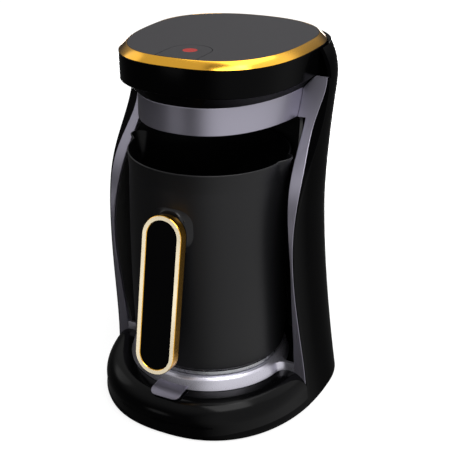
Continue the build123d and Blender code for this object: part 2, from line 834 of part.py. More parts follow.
with BuildPart() as relay:
    with BuildSketch(Plane.XZ.offset(-power_board_y - board_thickness)):
        with Locations((relay_x, power_board_z + relay_rise)):
            RectangleRounded(relay_width, relay_height, relay_corner)
    extrude(amount=-relay_depth)
keep(relay, "relay")

with BuildPart() as terminal_block:
    with BuildSketch(Plane.XZ.offset(-power_board_y - board_thickness)):
        with Locations((0, power_board_z - terminal_block_drop)):
            Rectangle(terminal_block_width, terminal_block_height)
            with GridLocations(terminal_block_width / terminal_count, 0, terminal_count, 1):
                Circle(terminal_radius, mode=Mode.SUBTRACT)
    extrude(amount=-terminal_block_depth)
keep(terminal_block, "terminal_block")

# ---------------------------------------------------------------- neck and head
with BuildPart() as neck_cover:
    with BuildSketch(Plane.XY.offset(neck_bottom)):
        add(neck_outline(neck_wall + neck_cover_gap))
        with Locations((0, jug_y)):
            Circle(window_radius, mode=Mode.SUBTRACT)
    extrude(amount=cavity_wall_thickness)
keep(neck_cover, "neck_cover")

with BuildPart() as sensor_window:
    with BuildSketch(Plane.XY.offset(neck_bottom)):
        with Locations((0, jug_y)):
            Circle(window_radius - fit_gap / 3)
    extrude(amount=cavity_wall_thickness)
    with BuildSketch(Plane.XY.offset(neck_bottom + cavity_wall_thickness)):
        with Locations((0, jug_y)):
            Circle(window_radius + window_flange)
    extrude(amount=window_flange)
keep(sensor_window, "sensor_window")

sensor_z = neck_bottom + cavity_wall_thickness + window_flange
with BuildPart() as foam_sensor:
    with BuildSketch(Plane.XY.offset(sensor_z)):
        with Locations((0, jug_y)):
            Circle(window_radius)
    extrude(amount=foam_sensor_height)
    with BuildSketch(Plane.XY.offset(sensor_z + foam_sensor_height)):
        with Locations((0, jug_y)):
            Rectangle(foam_board_size, foam_board_size)
    extrude(amount=board_thickness)
keep(foam_sensor, "foam_sensor")

head_floor = head_wall_bottom + head_wall
boss_grid = GridLocations(board_width - 2 * boss_side_inset, board_length - 2 * boss_end_inset, 2, 2)
boss_points = [(point.position.X, point.position.Y + board_y) for point in boss_grid.locations]
with BuildPart() as head_housing:
    add(head_taper.part)
    with BuildSketch(Plane.XY.offset(head_wall_bottom)):
        add(head_outline())
    extrude(amount=rim_bottom - head_wall_bottom)
    with BuildSketch(Plane.XY.offset(head_floor)):
        add(head_outline(head_wall))
    extrude(amount=far, mode=Mode.SUBTRACT)
    # way down to the neck, between the board's bosses
    with BuildSketch(Plane.XY.offset(neck_top - 1)):
        with Locations((0, board_y)):
            RectangleRounded(floor_opening_width, floor_opening_length, boss_radius)
    extrude(amount=far, mode=Mode.SUBTRACT)
    with BuildSketch(Plane.XY.offset(head_wall_bottom)):
        with Locations(*boss_points):
            Circle(boss_radius)
    extrude(amount=board_z - head_wall_bottom)
    with BuildSketch(Plane.XY.offset(head_wall_bottom)):
        with Locations(*boss_points):
            Circle(screw_radius + screw_clearance)
    extrude(amount=far, mode=Mode.SUBTRACT)
keep(head_housing, "head_housing")

with BuildPart() as head_rim:
    with BuildSketch(Plane.XY.offset(rim_bottom)):
        add(head_outline())
    with BuildSketch(Plane.XY.offset(height)):
        add(head_outline(rim_bevel))
    loft(ruled=True)
    with BuildSketch(Plane.XY.offset(top_plate_bottom)):
        add(head_outline(rim_seat))
    extrude(amount=far, mode=Mode.SUBTRACT)
    with BuildSketch(Plane.XY.offset(rim_bottom - 1)):
        add(head_outline(rim_seat + rim_ledge))
    extrude(amount=far, mode=Mode.SUBTRACT)
    # the ledge makes way for the start button
    with BuildSketch(Plane.XY.offset(rim_bottom - 1)):
        add(head_outline(rim_seat))
        with Locations((0, head_front_y)):
            Rectangle(2 * (button_radius + 2 * button_gap), 6 * rim_seat, mode=Mode.INTERSECT)
    extrude(amount=far, mode=Mode.SUBTRACT)
keep(head_rim, "head_rim")


with BuildPart() as top_plate:
    with BuildSketch(Plane.XY.offset(top_plate_bottom)):
        add(head_outline(rim_seat + fit_gap / 2))
        with Locations((0, button_centre_y)):
            Circle(button_radius + button_gap, mode=Mode.SUBTRACT)
        with Locations((0, button_centre_y - far / 2)):
            Rectangle(2 * (button_radius + button_gap), far, mode=Mode.SUBTRACT)
    extrude(amount=top_plate_thickness)
keep(top_plate, "top_plate")

# ---------------------------------------------------------------- control board
with BuildPart() as control_board:
    with BuildSketch(Plane.XY.offset(board_z)):
        with Locations((0, board_y)):
            RectangleRounded(board_width, board_length, boss_radius)
        with Locations(*boss_points):
            Circle(screw_radius + 2 * screw_clearance, mode=Mode.SUBTRACT)
    extrude(amount=board_thickness)
keep(control_board, "control_board")

with BuildPart() as board_screws:
    with BuildSketch(Plane.XY.offset(board_top)):
        with Locations(*boss_points):
            Circle(screw_head_radius)
    extrude(amount=screw_head_height)
    with BuildSketch(Plane.XY.offset(board_top)):
        with Locations(*boss_points):
            Circle(screw_radius)
    extrude(amount=-(board_top - head_wall_bottom - screw_clearance))
keep(board_screws, "board_screws")

with BuildPart() as tact_switch:
    with BuildSketch(Plane.XY.offset(board_top)):
        with Locations((plunger_x, button_centre_y)):
            Rectangle(switch_size, switch_size)
    extrude(amount=switch_height)
    with BuildSketch(Plane.XY.offset(board_top + switch_height)):
        with Locations((plunger_x, button_centre_y)):
            Circle(plunger_radius)
    extrude(amount=switch_nib)
keep(tact_switch, "tact_switch")

with BuildPart() as status_led:
    with BuildSketch(Plane.XY.offset(board_top)):
        with Locations((0, button_centre_y)):
            Circle(led_radius)
    extrude(amount=led_height)
    fillet(status_led.edges().group_by(Axis.Z)[-1], led_round)
keep(status_led, "status_led")

with BuildPart() as buzzer:
    with BuildSketch(Plane.XY.offset(board_top)):
        with Locations((buzzer_x, buzzer_y)):
            Circle(buzzer_radius)
    extrude(amount=buzzer_height)
    with BuildSketch(Plane.XY.offset(board_top + buzzer_height / 2)):
        with Locations((buzzer_x, buzzer_y)):
            Circle(screw_radius)
    extrude(amount=buzzer_height, mode=Mode.SUBTRACT)
keep(buzzer, "buzzer")

# ---------------------------------------------------------------- start button
switch_top = board_top + switch_height + switch_nib
with BuildPart() as start_button:
    with BuildSketch(Plane.XY.offset(top_plate_bottom)):
        with Locations((0, button_centre_y)):
            Circle(button_radius)
        with Locations((0, button_centre_y - far / 2)):
            Rectangle(2 * button_radius, far)
        add(head_outline(rim_seat + button_gap), mode=Mode.INTERSECT)
    extrude(amount=top_plate_thickness)
    with BuildSketch(Plane.XY.offset(top_plate_bottom)):
        with Locations((plunger_x, button_centre_y)):
            Circle(plunger_radius)
    extrude(amount=-(top_plate_bottom - switch_top - button_travel - screw_clearance))
    with BuildSketch(Plane.XY.offset(top_plate_bottom)):
        with Locations((-plunger_x, button_centre_y)):
            Circle(plunger_radius)
    extrude(amount=-spring_pin)
    with BuildSketch(Plane.XY.offset(top_plate_bottom - 1)):
        with Locations((0, button_centre_y)):
            Circle(icon_radius)
    extrude(amount=far, mode=Mode.SUBTRACT)
keep(start_button, "start_button")

with BuildPart() as button_icon:
    with BuildSketch(Plane.XY.offset(top_plate_bottom)):
        with Locations((0, button_centre_y)):
            Circle(icon_radius - screw_clearance)
    extrude(amount=top_plate_thickness)
    with BuildSketch(Plane.XY.offset(top_plate_bottom)):
        with Locations((0, button_centre_y)):
            Circle(icon_radius + icon_flange)
    extrude(amount=-icon_flange)
keep(button_icon, "button_icon")

spring_height = top_plate_bottom - board_top - 2 * spring_wire_radius - 2 * screw_clearance
with BuildPart() as button_spring:
    with BuildLine(Plane.XY.offset(board_top + spring_wire_radius + screw_clearance)) as coil:
        Helix(
            spring_height / spring_turns,
            spring_height,
            spring_radius,
            center=(-plunger_x, button_centre_y, 0),
        )
    with BuildSketch(Plane(coil.line @ 0, z_dir=coil.line % 0)):
        Circle(spring_wire_radius)
    sweep(path=coil.line, is_frenet=True)
keep(button_spring, "button_spring")

# ---------------------------------------------------------------- jug
def jug_radius(z):
    """Outer radius of the jug: one large arc, widest at the belly."""
    return jug_belly_radius - jug_bulge_radius + sqrt(jug_bulge_radius ** 2 - (z - jug_belly_z) ** 2)


def jug_profile(inset):
    """Half section of the jug in the jug plane, from the axis out, up the side and back at the rim."""
    floor = jug_body_bottom + inset
    foot = jug_radius(jug_body_bottom) - inset
    corner = jug_corner - inset
    throat = jug_radius(jug_throat_z) - inset
    rim = jug_radius(jug_throat_z) + jug_rim_flare - inset
    over_rim = [(rim, jug_rim_z + 2 * spout_rise)] if inset else []
    with BuildSketch() as section:
        with BuildLine():
            Line((0, floor), (foot - corner, floor))
            RadiusArc((foot - corner, floor), (foot, floor + corner), -corner)
            RadiusArc((foot, floor + corner), (throat, jug_throat_z), -(jug_bulge_radius - inset))
            Line((throat, jug_throat_z), (rim, jug_rim_z))
            Polyline((rim, jug_rim_z), *over_rim, (0, (over_rim or [(0, jug_rim_z)])[0][1]), (0, floor))
        make_face()
    return section.sketch


def spouts(inset):
    """The two pouring lips: cones that widen upwards out of the jug's side."""
    top = jug_rim_z + spout_rise + (above if inset else 0)
    foot = jug_rim_z - spout_depth
    with BuildPart() as lips:
        for side in (-1, 1):
            with BuildSketch(Plane.XY.offset(top)):
                with Locations((side * (spout_tip_radius - spout_radius), jug_y)):
                    Circle(spout_radius - inset)
            with BuildSketch(Plane.XY.offset(foot)):
                with Locations((side * (spout_tip_radius - spout_radius - spout_lean), jug_y)):
                    Circle(spout_foot_radius - inset / 3)
            loft()
    return lips.part


with BuildPart() as jug_body:
    with BuildSketch(jug_plane):
        add(jug_profile(0))
    revolve(axis=jug_axis)
    add(spouts(0))
    with BuildSketch(jug_plane):
        add(jug_profile(jug_wall))
    revolve(axis=jug_axis, mode=Mode.SUBTRACT)
    add(spouts(jug_wall), mode=Mode.SUBTRACT)
keep(jug_body, "jug_body")

with BuildPart() as jug_base:
    with BuildSketch(Plane.XY.offset(jug_bottom)):
        with Locations((0, jug_y)):
            Circle(jug_base_radius)
    extrude(amount=jug_base_thickness)
    chamfer(jug_base.edges().group_by(Axis.Z)[0], jug_base_thickness / 4)
keep(jug_base, "jug_base")

# ---------------------------------------------------------------- jug handle
lean = radians(handle_lean)
saddle_y = jug_y - jug_radius(saddle_z) - saddle_room - handle_core_depth / cos(lean)
handle_foot_y = saddle_y - (saddle_z - handle_bottom_z) * tan(lean)
handle_middle = (
    0,
    handle_foot_y + sin(lean) * handle_length / 2,
    handle_bottom_z + cos(lean) * handle_length / 2,
)
handle_face = Plane(
    origin=handle_middle,
    x_dir=(1, 0, 0),
    z_dir=(0, -cos(lean), sin(lean)),
)
inlay_length = handle_length - 2 * handle_ring_width
inlay_width = handle_width - 2 * handle_ring_width


def jug_band(low, high, gap, thickness):
    """Ring round the jug between two heights, this far off its wall and this thick."""
    near_low, near_high = (jug_radius(z) + gap for z in (low, high))
    with BuildPart() as band:
        with BuildSketch(jug_plane):
            with BuildLine():
                RadiusArc((near_low, low), (near_high, high), -jug_bulge_radius)
                Line((near_high, high), (near_high + thickness, high))
                RadiusArc((near_high + thickness, high), (near_low + thickness, low), jug_bulge_radius)
                Line((near_low + thickness, low), (near_low, low))
            make_face()
        revolve(axis=jug_axis)
    return band.part


with BuildPart() as handle_ring:
    with BuildSketch(handle_face):
        SlotOverall(handle_length, handle_width, rotation=90)
        SlotOverall(inlay_length, inlay_width, rotation=90, mode=Mode.SUBTRACT)
    extrude(amount=-handle_ring_depth)
keep(handle_ring, "handle_ring")

inlay_back = handle_inlay_sink + handle_inlay_thickness
with BuildPart() as handle_inlay:
    with BuildSketch(handle_face.offset(-handle_inlay_sink)):
        SlotOverall(inlay_length - fit_gap, inlay_width - fit_gap, rotation=90)
    extrude(amount=-handle_inlay_thickness)
keep(handle_inlay, "handle_inlay")

# screws through the saddle into the bracket, under the inlay
screw_middle = (saddle_z - handle_bottom_z) / cos(lean) - handle_length / 2
handle_screws_at = [(0, screw_middle + side * handle_screw_spacing / 2) for side in (-1, 1)]
handle_screw_length = handle_core_depth + saddle_room * cos(lean) - inlay_back - handle_screw_tip

with BuildPart() as handle_bracket:
    add(jug_band(saddle_z - bracket_height / 2, saddle_z + bracket_height / 2, seat_gap, bracket_thickness))
    with BuildSketch(Plane.XZ.offset(-jug_y)):
        with Locations((0, saddle_z)):
            Rectangle(bracket_width, 2 * bracket_height)
    extrude(amount=far, mode=Mode.INTERSECT)
    with BuildSketch(handle_face):
        with Locations(*handle_screws_at):
            Circle(handle_screw_radius + screw_clearance)
    extrude(amount=-2 * handle_core_depth, mode=Mode.SUBTRACT)
keep(handle_bracket, "handle_bracket")

saddle_low = saddle_z - saddle_height / 2
saddle_front_y = jug_y - jug_belly_radius - 3 * saddle_reach
saddle_rear_y = jug_y - jug_belly_radius + saddle_reach
with BuildPart() as saddle:
    with BuildSketch(Plane.XY.offset(saddle_low)):
        with BuildLine():
            Polyline(
                (-saddle_width / 2, saddle_front_y),
                (saddle_width / 2, saddle_front_y),
                (saddle_jug_width / 2, saddle_rear_y),
                (-saddle_jug_width / 2, saddle_rear_y),
                close=True,
            )
        make_face()
    extrude(amount=saddle_height)
    with BuildSketch(handle_face.offset(-handle_ring_depth)):
        Rectangle(far, far)
    extrude(amount=far, mode=Mode.SUBTRACT)

handle_top_z = handle_bottom_z + handle_length * cos(lean)
with BuildPart() as handle_core:
    with BuildSketch(handle_face.offset(-handle_ring_depth)):
        SlotOverall(handle_length - fit_gap, handle_width - fit_gap, rotation=90)
    extrude(amount=-handle_back_thickness)
    rear_face = handle_core.faces().sort_by(Axis(handle_face.origin, handle_face.z_dir))[0]
    fillet(rear_face.edges(), handle_back_round)
    with BuildSketch(handle_face.offset(-inlay_back)):
        SlotOverall(inlay_length - fit_gap, inlay_width - fit_gap, rotation=90)
    extrude(amount=inlay_back - handle_ring_depth)
    add(saddle.part)
    # its face to the jug, a hair off the wall all the way up
    wall_depth = jug_belly_radius / 2
    add(jug_band(handle_bottom_z, handle_top_z, seat_gap - wall_depth, wall_depth), mode=Mode.SUBTRACT)
    # pocket for the bracket
    with BuildSketch(Plane.XZ.offset(-jug_y)):
        with Locations((0, saddle_z)):
            Rectangle(bracket_width + fit_gap, bracket_height + fit_gap)
    extrude(
        amount=jug_radius(saddle_z) + bracket_thickness + 3 * seat_gap,
        mode=Mode.SUBTRACT,
    )
    with BuildSketch(handle_face.offset(-inlay_back)):
        with Locations(*handle_screws_at):
            Circle(handle_screw_head_radius + screw_clearance)
    extrude(amount=-handle_screw_head_height, mode=Mode.SUBTRACT)
    with BuildSketch(handle_face.offset(-inlay_back)):
        with Locations(*handle_screws_at):
            Circle(handle_screw_radius + screw_clearance)
    extrude(amount=-2 * handle_core_depth, mode=Mode.SUBTRACT)
keep(handle_core, "handle_core")

with BuildPart() as handle_screws:
    with BuildSketch(handle_face.offset(-inlay_back)):
        with Locations(*handle_screws_at):
            Circle(handle_screw_head_radius)
    extrude(amount=-handle_screw_head_height)
    with BuildSketch(handle_face.offset(-inlay_back)):
        with Locations(*handle_screws_at):
            Circle(handle_screw_radius)
    extrude(amount=-handle_screw_length)
keep(handle_screws, "handle_screws")

# ---------------------------------------------------------------- files
os.makedirs("parts", exist_ok=True)
for piece in parts:
    export_step(piece, "parts/" + piece.label + ".step")
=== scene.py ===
import json
import math

import bpy
import numpy as np
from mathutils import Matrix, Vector


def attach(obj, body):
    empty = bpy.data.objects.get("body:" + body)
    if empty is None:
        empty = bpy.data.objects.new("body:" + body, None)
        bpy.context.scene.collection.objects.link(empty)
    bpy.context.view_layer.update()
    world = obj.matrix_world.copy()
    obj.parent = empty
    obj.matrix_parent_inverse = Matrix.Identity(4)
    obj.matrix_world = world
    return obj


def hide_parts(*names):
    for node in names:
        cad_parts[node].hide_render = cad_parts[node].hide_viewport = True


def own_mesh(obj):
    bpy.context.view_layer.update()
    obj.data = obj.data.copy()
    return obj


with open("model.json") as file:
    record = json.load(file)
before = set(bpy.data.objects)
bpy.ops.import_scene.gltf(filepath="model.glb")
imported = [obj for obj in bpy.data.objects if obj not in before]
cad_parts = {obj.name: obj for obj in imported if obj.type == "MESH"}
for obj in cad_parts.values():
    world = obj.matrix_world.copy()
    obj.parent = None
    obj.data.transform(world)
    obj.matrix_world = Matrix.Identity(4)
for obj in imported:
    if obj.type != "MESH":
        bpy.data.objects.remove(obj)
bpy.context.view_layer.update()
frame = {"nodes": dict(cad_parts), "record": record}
print("coffee maker: frame loaded")

# sizes in millimetres; meshes are made in metres
mm = 0.001
jugY = -8.5  # axis of the jug and of the heating plate
heights = {"foot": 1.5, "deck": 28.0, "neckBottom": 203.0, "neckTop": 220.4, "headBottom": 228.0,
           "rimBottom": 245.6, "top": 250.0}
bodySizes = {"waistZ": 145.0, "shoulderZ": 218.0, "foot": 79.8, "waist": 70.6, "shoulder": 71.6,
             "front": -80.9, "footRear": 90.0, "waistRear": 84.5, "shoulderRear": 88.0,
             "footWidest": 24.5, "waistWidest": 2.0, "pastHead": 2.7, "frontPower": 2.34, "rearPower": 2.22,
             "flarePower": 1.6, "rollPower": 2.5, "widestPower": 1.5}
headSizes = {"half": 60.9, "front": -58.1, "rear": 81.7, "widest": 28.3, "frontPower": 2.7, "rearPower": 2.2}
neckSizes = {"half": 54.5, "front": -53.0, "rear": 77.0, "widest": 38.0, "frontPower": 2.3, "rearPower": 2.3}
cavity = {"half": 66.4, "narrowing": 7.8, "bendZ": 100.0, "bendLength": 95.0}
# y and z of the front edge of the wings
wingEdge = [(-9.5, -10.0), (-12.5, 28.0), (-25.6, 112.0), (-18.0, 164.0), (11.5, 203.0), (19.0, 226.0),
            (22.0, 262.0)]


# egg outline at angle phi: x = half |cos phi| ^ (2/n), y = widest + reach |sin phi| ^ (2/n), n and reach
# are those of the front quarter where sin phi < 0 and of the rear quarter behind it
def eggPoint(phi, size, inset=0.0):
    front = np.sin(phi) < 0
    power = np.where(front, size["frontPower"], size["rearPower"])
    reach = np.where(front, size["widest"] - size["front"], size["rear"] - size["widest"]) - inset
    x = (size["half"] - inset) * np.abs(np.cos(phi)) ** (2 / power)
    y = size["widest"] + np.sign(np.sin(phi)) * reach * np.abs(np.sin(phi)) ** (2 / power)
    return x, y


# angle phi of the point of the outline at a given y, the inverse of eggPoint
def eggAngle(y, size, inset=0.0):
    front = y < size["widest"]
    power = np.where(front, size["frontPower"], size["rearPower"])
    reach = np.where(front, size["widest"] - size["front"], size["rear"] - size["widest"]) - inset
    share = np.clip(np.abs(y - size["widest"]) / reach, 0, 1)
    return np.where(front, -1, 1) * np.arcsin(share ** (power / 2))


# half width of the outline at a given y
def eggHalf(y, size, inset=0.0):
    return eggPoint(eggAngle(y, size, inset), size, inset)[0]


# a closed loop of points round an egg outline: the right half by eggPoint, then its mirror image
def eggLoop(size, inset, z, count=160):
    phi = np.linspace(-math.pi / 2, math.pi / 2, count // 2 + 1)
    x, y = eggPoint(phi, size, inset)
    half = np.stack([x, y, np.full_like(x, z)], -1)
    return np.concatenate([half, half[-2:0:-1] * np.array([-1, 1, 1])])


# body size at height z: waist + (foot - waist) * drop ^ flare below the waist, a parabola up to the
# shoulder, and a roll in to the top, (shoulder - top) * roll ^ rollPower, above it
def waisted(z, foot, waist, shoulder, top):
    b = bodySizes
    drop = np.clip((b["waistZ"] - z) / b["waistZ"], 0, None)
    rise = np.clip((z - b["waistZ"]) / (b["shoulderZ"] - b["waistZ"]), 0, 1)
    roll = np.clip((z - b["shoulderZ"]) / (heights["rimBottom"] - b["shoulderZ"]), 0, 1)
    return (waist + (foot - waist) * drop ** b["flarePower"] + (shoulder - waist) * rise ** 2
            - (shoulder - top) * roll ** b["rollPower"])


# sizes of the body's egg outline at height z
def bodyAt(z, frontY=None):
    b = bodySizes
    rise = np.clip((z - b["waistZ"]) / (heights["rimBottom"] - b["waistZ"]), 0, 1)
    drop = np.clip((b["waistZ"] - z) / b["waistZ"], 0, None)
    return {
        "half": waisted(z, b["foot"], b["waist"], b["shoulder"], headSizes["half"] + b["pastHead"]),
        "rear": waisted(z, b["footRear"], b["waistRear"], b["shoulderRear"], headSizes["rear"] + b["pastHead"]),
        "front": b["front"] if frontY is None else frontY,
        "widest": b["waistWidest"] + (b["footWidest"] - b["waistWidest"]) * drop ** b["flarePower"]
        + (headSizes["widest"] - b["waistWidest"]) * rise ** b["widestPower"],
        "frontPower": b["frontPower"], "rearPower": b["rearPower"],
    }


# natural cubic spline through points, as a dense table: second derivatives from the tridiagonal system
def splineTable(points, count=400):
    p = np.array(points, float)
    t = np.concatenate([[0], np.cumsum(np.hypot(*np.diff(p, axis=0).T))])
    h = np.diff(t)
    n = len(t)
    system = np.eye(n)
    right = np.zeros((n, 2))
    for i in range(1, n - 1):
        system[i, i - 1:i + 2] = [h[i - 1], 2 * (h[i - 1] + h[i]), h[i]]
        right[i] = 6 * ((p[i + 1] - p[i]) / h[i] - (p[i] - p[i - 1]) / h[i - 1])
    m = np.linalg.solve(system, right)
    s = np.linspace(0, t[-1], count)
    k = np.clip(np.searchsorted(t, s) - 1, 0, n - 2)
    a = (t[k + 1] - s)[:, None]
    b = (s - t[k])[:, None]
    w = h[k][:, None]
    bend = (m[k] * a ** 3 + m[k + 1] * b ** 3) / (6 * w)
    return bend + (p[k] / w - m[k] * w / 6) * a + (p[k + 1] / w - m[k + 1] * w / 6) * b


wingTable = splineTable(wingEdge)


# y of the front edge of the wings at height z
def wingY(z):
    return np.interp(z, wingTable[:, 1], wingTable[:, 0])


# half width of the cavity: constant round the jug, then a cosine ease in towards the neck
def cavityHalf(z):
    ease = np.clip((z - cavity["bendZ"]) / cavity["bendLength"], 0, 1)
    return cavity["half"] - cavity["narrowing"] * (1 - np.cos(math.pi * ease)) / 2


# a grid of points[row, column] joined by quads, rows and columns closed on request, ends capped
def gridMesh(name, points, closeRow=False, closeColumn=False, caps=False, flip=False, sharp=30):
    rows, columns = points.shape[:2]
    index = np.arange(rows * columns).reshape(rows, columns)
    wrapped = np.concatenate([index, index[:, :1]], axis=1) if closeRow else index
    wrapped = np.concatenate([wrapped, wrapped[:1]], axis=0) if closeColumn else wrapped
    corners = [wrapped[:-1, :-1], wrapped[:-1, 1:], wrapped[1:, 1:], wrapped[1:, :-1]]
    faces = np.stack(corners, -1).reshape(-1, 4).tolist()
    if caps:
        faces += [index[0, ::-1].tolist(), index[-1].tolist()]
    if flip:
        faces = [face[::-1] for face in faces]
    return addMesh(name, points.reshape(-1, 3), faces, sharp)


# a mesh from points in millimetres, smooth but for edges sharper than an angle in degrees
def addMesh(name, points, faces, sharp=30):
    mesh = bpy.data.meshes.new(name)
    mesh.from_pydata((np.asarray(points) * mm).tolist(), [], faces)
    mesh.validate()
    mesh.shade_smooth()
    mesh.set_sharp_from_angle(angle=math.radians(sharp))
    piece = bpy.data.objects.new(name, mesh)
    bpy.context.scene.collection.objects.link(piece)
    return piece


# gives a piece its material and body, and hides the nodes that it stands in for
def finishPiece(piece, body, slotName, material, *nodes):
    piece.data.materials.clear()
    piece.data.materials.append(material)
    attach(piece, body)
    if nodes:
        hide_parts(*nodes)


# gives some faces of a piece a second material
def secondMaterial(piece, material, faces):
    piece.data.materials.append(material)
    index = np.zeros(len(piece.data.polygons), int)
    index[faces] = 1
    piece.data.polygons.foreach_set("material_index", index)


# gives a surface a wall inwards
def wallThickness(piece, thickness):
    wall = piece.modifiers.new("wall", "SOLIDIFY")
    wall.thickness = thickness * mm
    wall.offset = -1.0
    wall.use_even_offset = True


# sRGB colour code to the linear colour that Blender's sockets take
def srgb(code):
    channels = [int(code[i:i + 2], 16) / 255 for i in (1, 3, 5)]
    return tuple(c / 12.92 if c <= 0.04045 else ((c + 0.055) / 1.055) ** 2.4 for c in channels) + (1.0,)


# adds one node, sets its sockets and properties, and links the sockets given as (node, output)
def addNode(tree, kind, inputs=(), **settings):
    node = tree.nodes.new(kind)
    for key, value in settings.items():
        setattr(node, key, value)
    for key, value in dict(inputs).items():
        if isinstance(value, tuple) and len(value) == 2 and hasattr(value[0], "outputs"):
            tree.links.new(value[0].outputs[value[1]], node.inputs[key])
        else:
            node.inputs[key].default_value = value
    return node


# a plain material with its colour and other sockets set
def plainMaterial(name, colour, sockets):
    material = bpy.data.materials.new(name)
    material.use_nodes = True
    tree = material.node_tree
    shader = tree.nodes["Principled BSDF"]
    for key, value in {"Base Color": srgb(colour), **sockets}.items():
        shader.inputs[key].default_value = value
    return material, tree, shader, addNode(tree, "ShaderNodeTexCoord")


# a material whose roughness waves or grains about its middle, with a bump of the same noise; grain is the
# size of the noise in millimetres, roughness, its spread, and the depth of the bump in millimetres
def grainedMaterial(name, colour, grain, sockets, stretch=(1, 1, 1)):
    material, tree, shader, place = plainMaterial(name, colour, sockets)
    size, roughness, spread, depth = grain
    mapping = addNode(tree, "ShaderNodeMapping", {"Vector": (place, "Object"), "Scale": stretch})
    noise = addNode(tree, "ShaderNodeTexNoise", {"Vector": (mapping, "Vector"), "Scale": 1 / (size * mm),
                                                 "Detail": 3.0, "Roughness": 0.55})
    ramp = addNode(tree, "ShaderNodeMapRange", {"Value": (noise, "Fac"), "From Min": 0.3, "From Max": 0.7,
                                                "To Min": roughness - spread, "To Max": roughness + spread})
    tree.links.new(ramp.outputs["Result"], shader.inputs["Roughness"])
    if depth:
        bump = addNode(tree, "ShaderNodeBump", {"Height": (noise, "Fac"), "Distance": depth * mm,
                                                "Strength": 1.0})
        tree.links.new(bump.outputs["Normal"], shader.inputs["Normal"])
    return material


# high-gloss moulded ABS: deep black, lamps show in it as soft patches with the faintest flow waviness
glossBlack = grainedMaterial("highGlossAbs", "#060607", (40, 0.15, 0.02, 0),
                             {"IOR": 1.5, "Specular IOR Level": 0.04})
# the same plastic on the foot, polished brighter: its shoulder carries a soft patch of light
footBlack = grainedMaterial("polishedFootAbs", "#060607", (40, 0.17, 0.02, 0),
                            {"IOR": 1.5, "Specular IOR Level": 0.1})
# the same plastic, part polished, on the saddle of the handle: a small soft highlight on its upper edge
saddleBlack = grainedMaterial("polishedSaddleAbs", "#161618", (40, 0.33, 0.03, 0),
                              {"IOR": 1.5, "Specular IOR Level": 0.3})
# satin moulded ABS of the handle's inlay and under the head: near black, a dull sheen
satinBlack = grainedMaterial("satinAbs", "#09090a", (1, 0.38, 0.03, 0.004),
                             {"IOR": 1.5, "Specular IOR Level": 0.02})
# moulded plastic of the cover underneath and the small parts: matte, with a spark-eroded grain
matteBlack = grainedMaterial("sparkErodedAbs", "#0e0e0f", (0.8, 0.5, 0.06, 0.02),
                             {"IOR": 1.5, "Specular IOR Level": 0.15})
# moulded plastic of the niche behind the jug: satin, dark grey where the lamp reaches it
nicheAbs = grainedMaterial("satinNicheAbs", "#4c4c4c", (1.2, 0.45, 0.04, 0.006),
                           {"IOR": 1.5, "Specular IOR Level": 0.15})
# soft-touch lacquer of the top plate and button: charcoal, wide soft highlights
charcoalLacquer = grainedMaterial("charcoalSatinLacquer", "#29282b", (0.5, 0.42, 0.04, 0.004),
                                  {"IOR": 1.5, "Specular IOR Level": 0.25})
# metallic paint of the frame: fine flake, a lilac grey that turns light where it faces the lamp
anthracitePaint = grainedMaterial("anthraciteMetallicPaint", "#a4a1af", (0.4, 0.36, 0.05, 0.004),
                                  {"Metallic": 0.8, "IOR": 1.5})
# a lighter copy of the frame's paint on the ring round the heating plate and on the webs: painted highlight, as
# their tops face up to the lamps
highlightedRingPaint = grainedMaterial("ringPaintPaintedHighlight", "#c9c7d2", (0.4, 0.3, 0.04, 0.004),
                            {"Metallic": 0.85, "IOR": 1.5})
# a darker copy of the frame's paint on the tongue: painted shade, as the tongue faces away from the lamps
shadedTonguePaint = grainedMaterial("shadedMetallicPaint", "#7f7c89", (0.4, 0.4, 0.05, 0.004),
                              {"Metallic": 0.8, "IOR": 1.5})
# vacuum-plated gold trim: polished and warm, with bright bands
goldTrim = grainedMaterial("goldVacuumPlating", "#e3a93a", (25, 0.16, 0.03, 0), {"Metallic": 1.0})
# flat face of the handle's ring: the gold paled almost to white with a warm tint, a painted highlight
highlightedGold = grainedMaterial("goldPaintedHighlight", "#fff0cf", (25, 0.2, 0.03, 0), {"Metallic": 1.0})
# non-stick coating of the jug: black satin with a fine spray texture
jugCoating = grainedMaterial("sprayedNonStickCoating", "#161618", (0.6, 0.42, 0.04, 0.006),
                             {"IOR": 1.5, "Specular IOR Level": 0.3})
# brushed stainless steel of the heating plate: hairlines along y
brushedSteel = grainedMaterial("brushedStainless", "#b9babd", (0.5, 0.32, 0.08, 0.004), {"Metallic": 1.0},
                               stretch=(1, 0.03, 1))
# turned or stamped small parts of zinc-plated steel: bright, slightly uneven
plainSteel = grainedMaterial("stampedZincSteel", "#c3c5c8", (3, 0.3, 0.06, 0), {"Metallic": 1.0})
# pressed aluminium of the shield and the sensor's cap: pale, soft sheen
plainAluminium = grainedMaterial("pressedAluminium", "#d3d4d6", (2, 0.35, 0.06, 0.01), {"Metallic": 1.0})
# moulded rubber of the feet and the gland: dull and dark
mouldedRubber = grainedMaterial("mouldedRubber", "#1c1c1c", (1, 0.7, 0.08, 0.02), {"IOR": 1.52})
# silicone seal: grey, slightly greasy sheen
siliconeSeal = grainedMaterial("siliconeSeal", "#5d5e60", (1.5, 0.5, 0.06, 0.01), {"IOR": 1.43})
# solder mask on glass-fibre board: satin green
solderMask = grainedMaterial("solderMaskBoard", "#155a32", (2, 0.35, 0.05, 0.02), {"IOR": 1.5})
# nylon of the terminal block: pale and dull
paleNylon = grainedMaterial("paleNylon", "#c9c7bd", (1, 0.5, 0.05, 0.01), {"IOR": 1.53})
# polycarbonate window of the foam sensor: clear with a hard shine
clearWindow = grainedMaterial("clearPolycarbonate", "#e9eef2", (5, 0.08, 0.02, 0),
                              {"IOR": 1.58, "Transmission Weight": 0.9})
# red lens lit from behind: an even, dim glow
redLens = grainedMaterial("litRedLens", "#7a1710", (2, 0.25, 0.03, 0),
                          {"IOR": 1.5, "Emission Color": srgb("#ff2417"), "Emission Strength": 0.22})

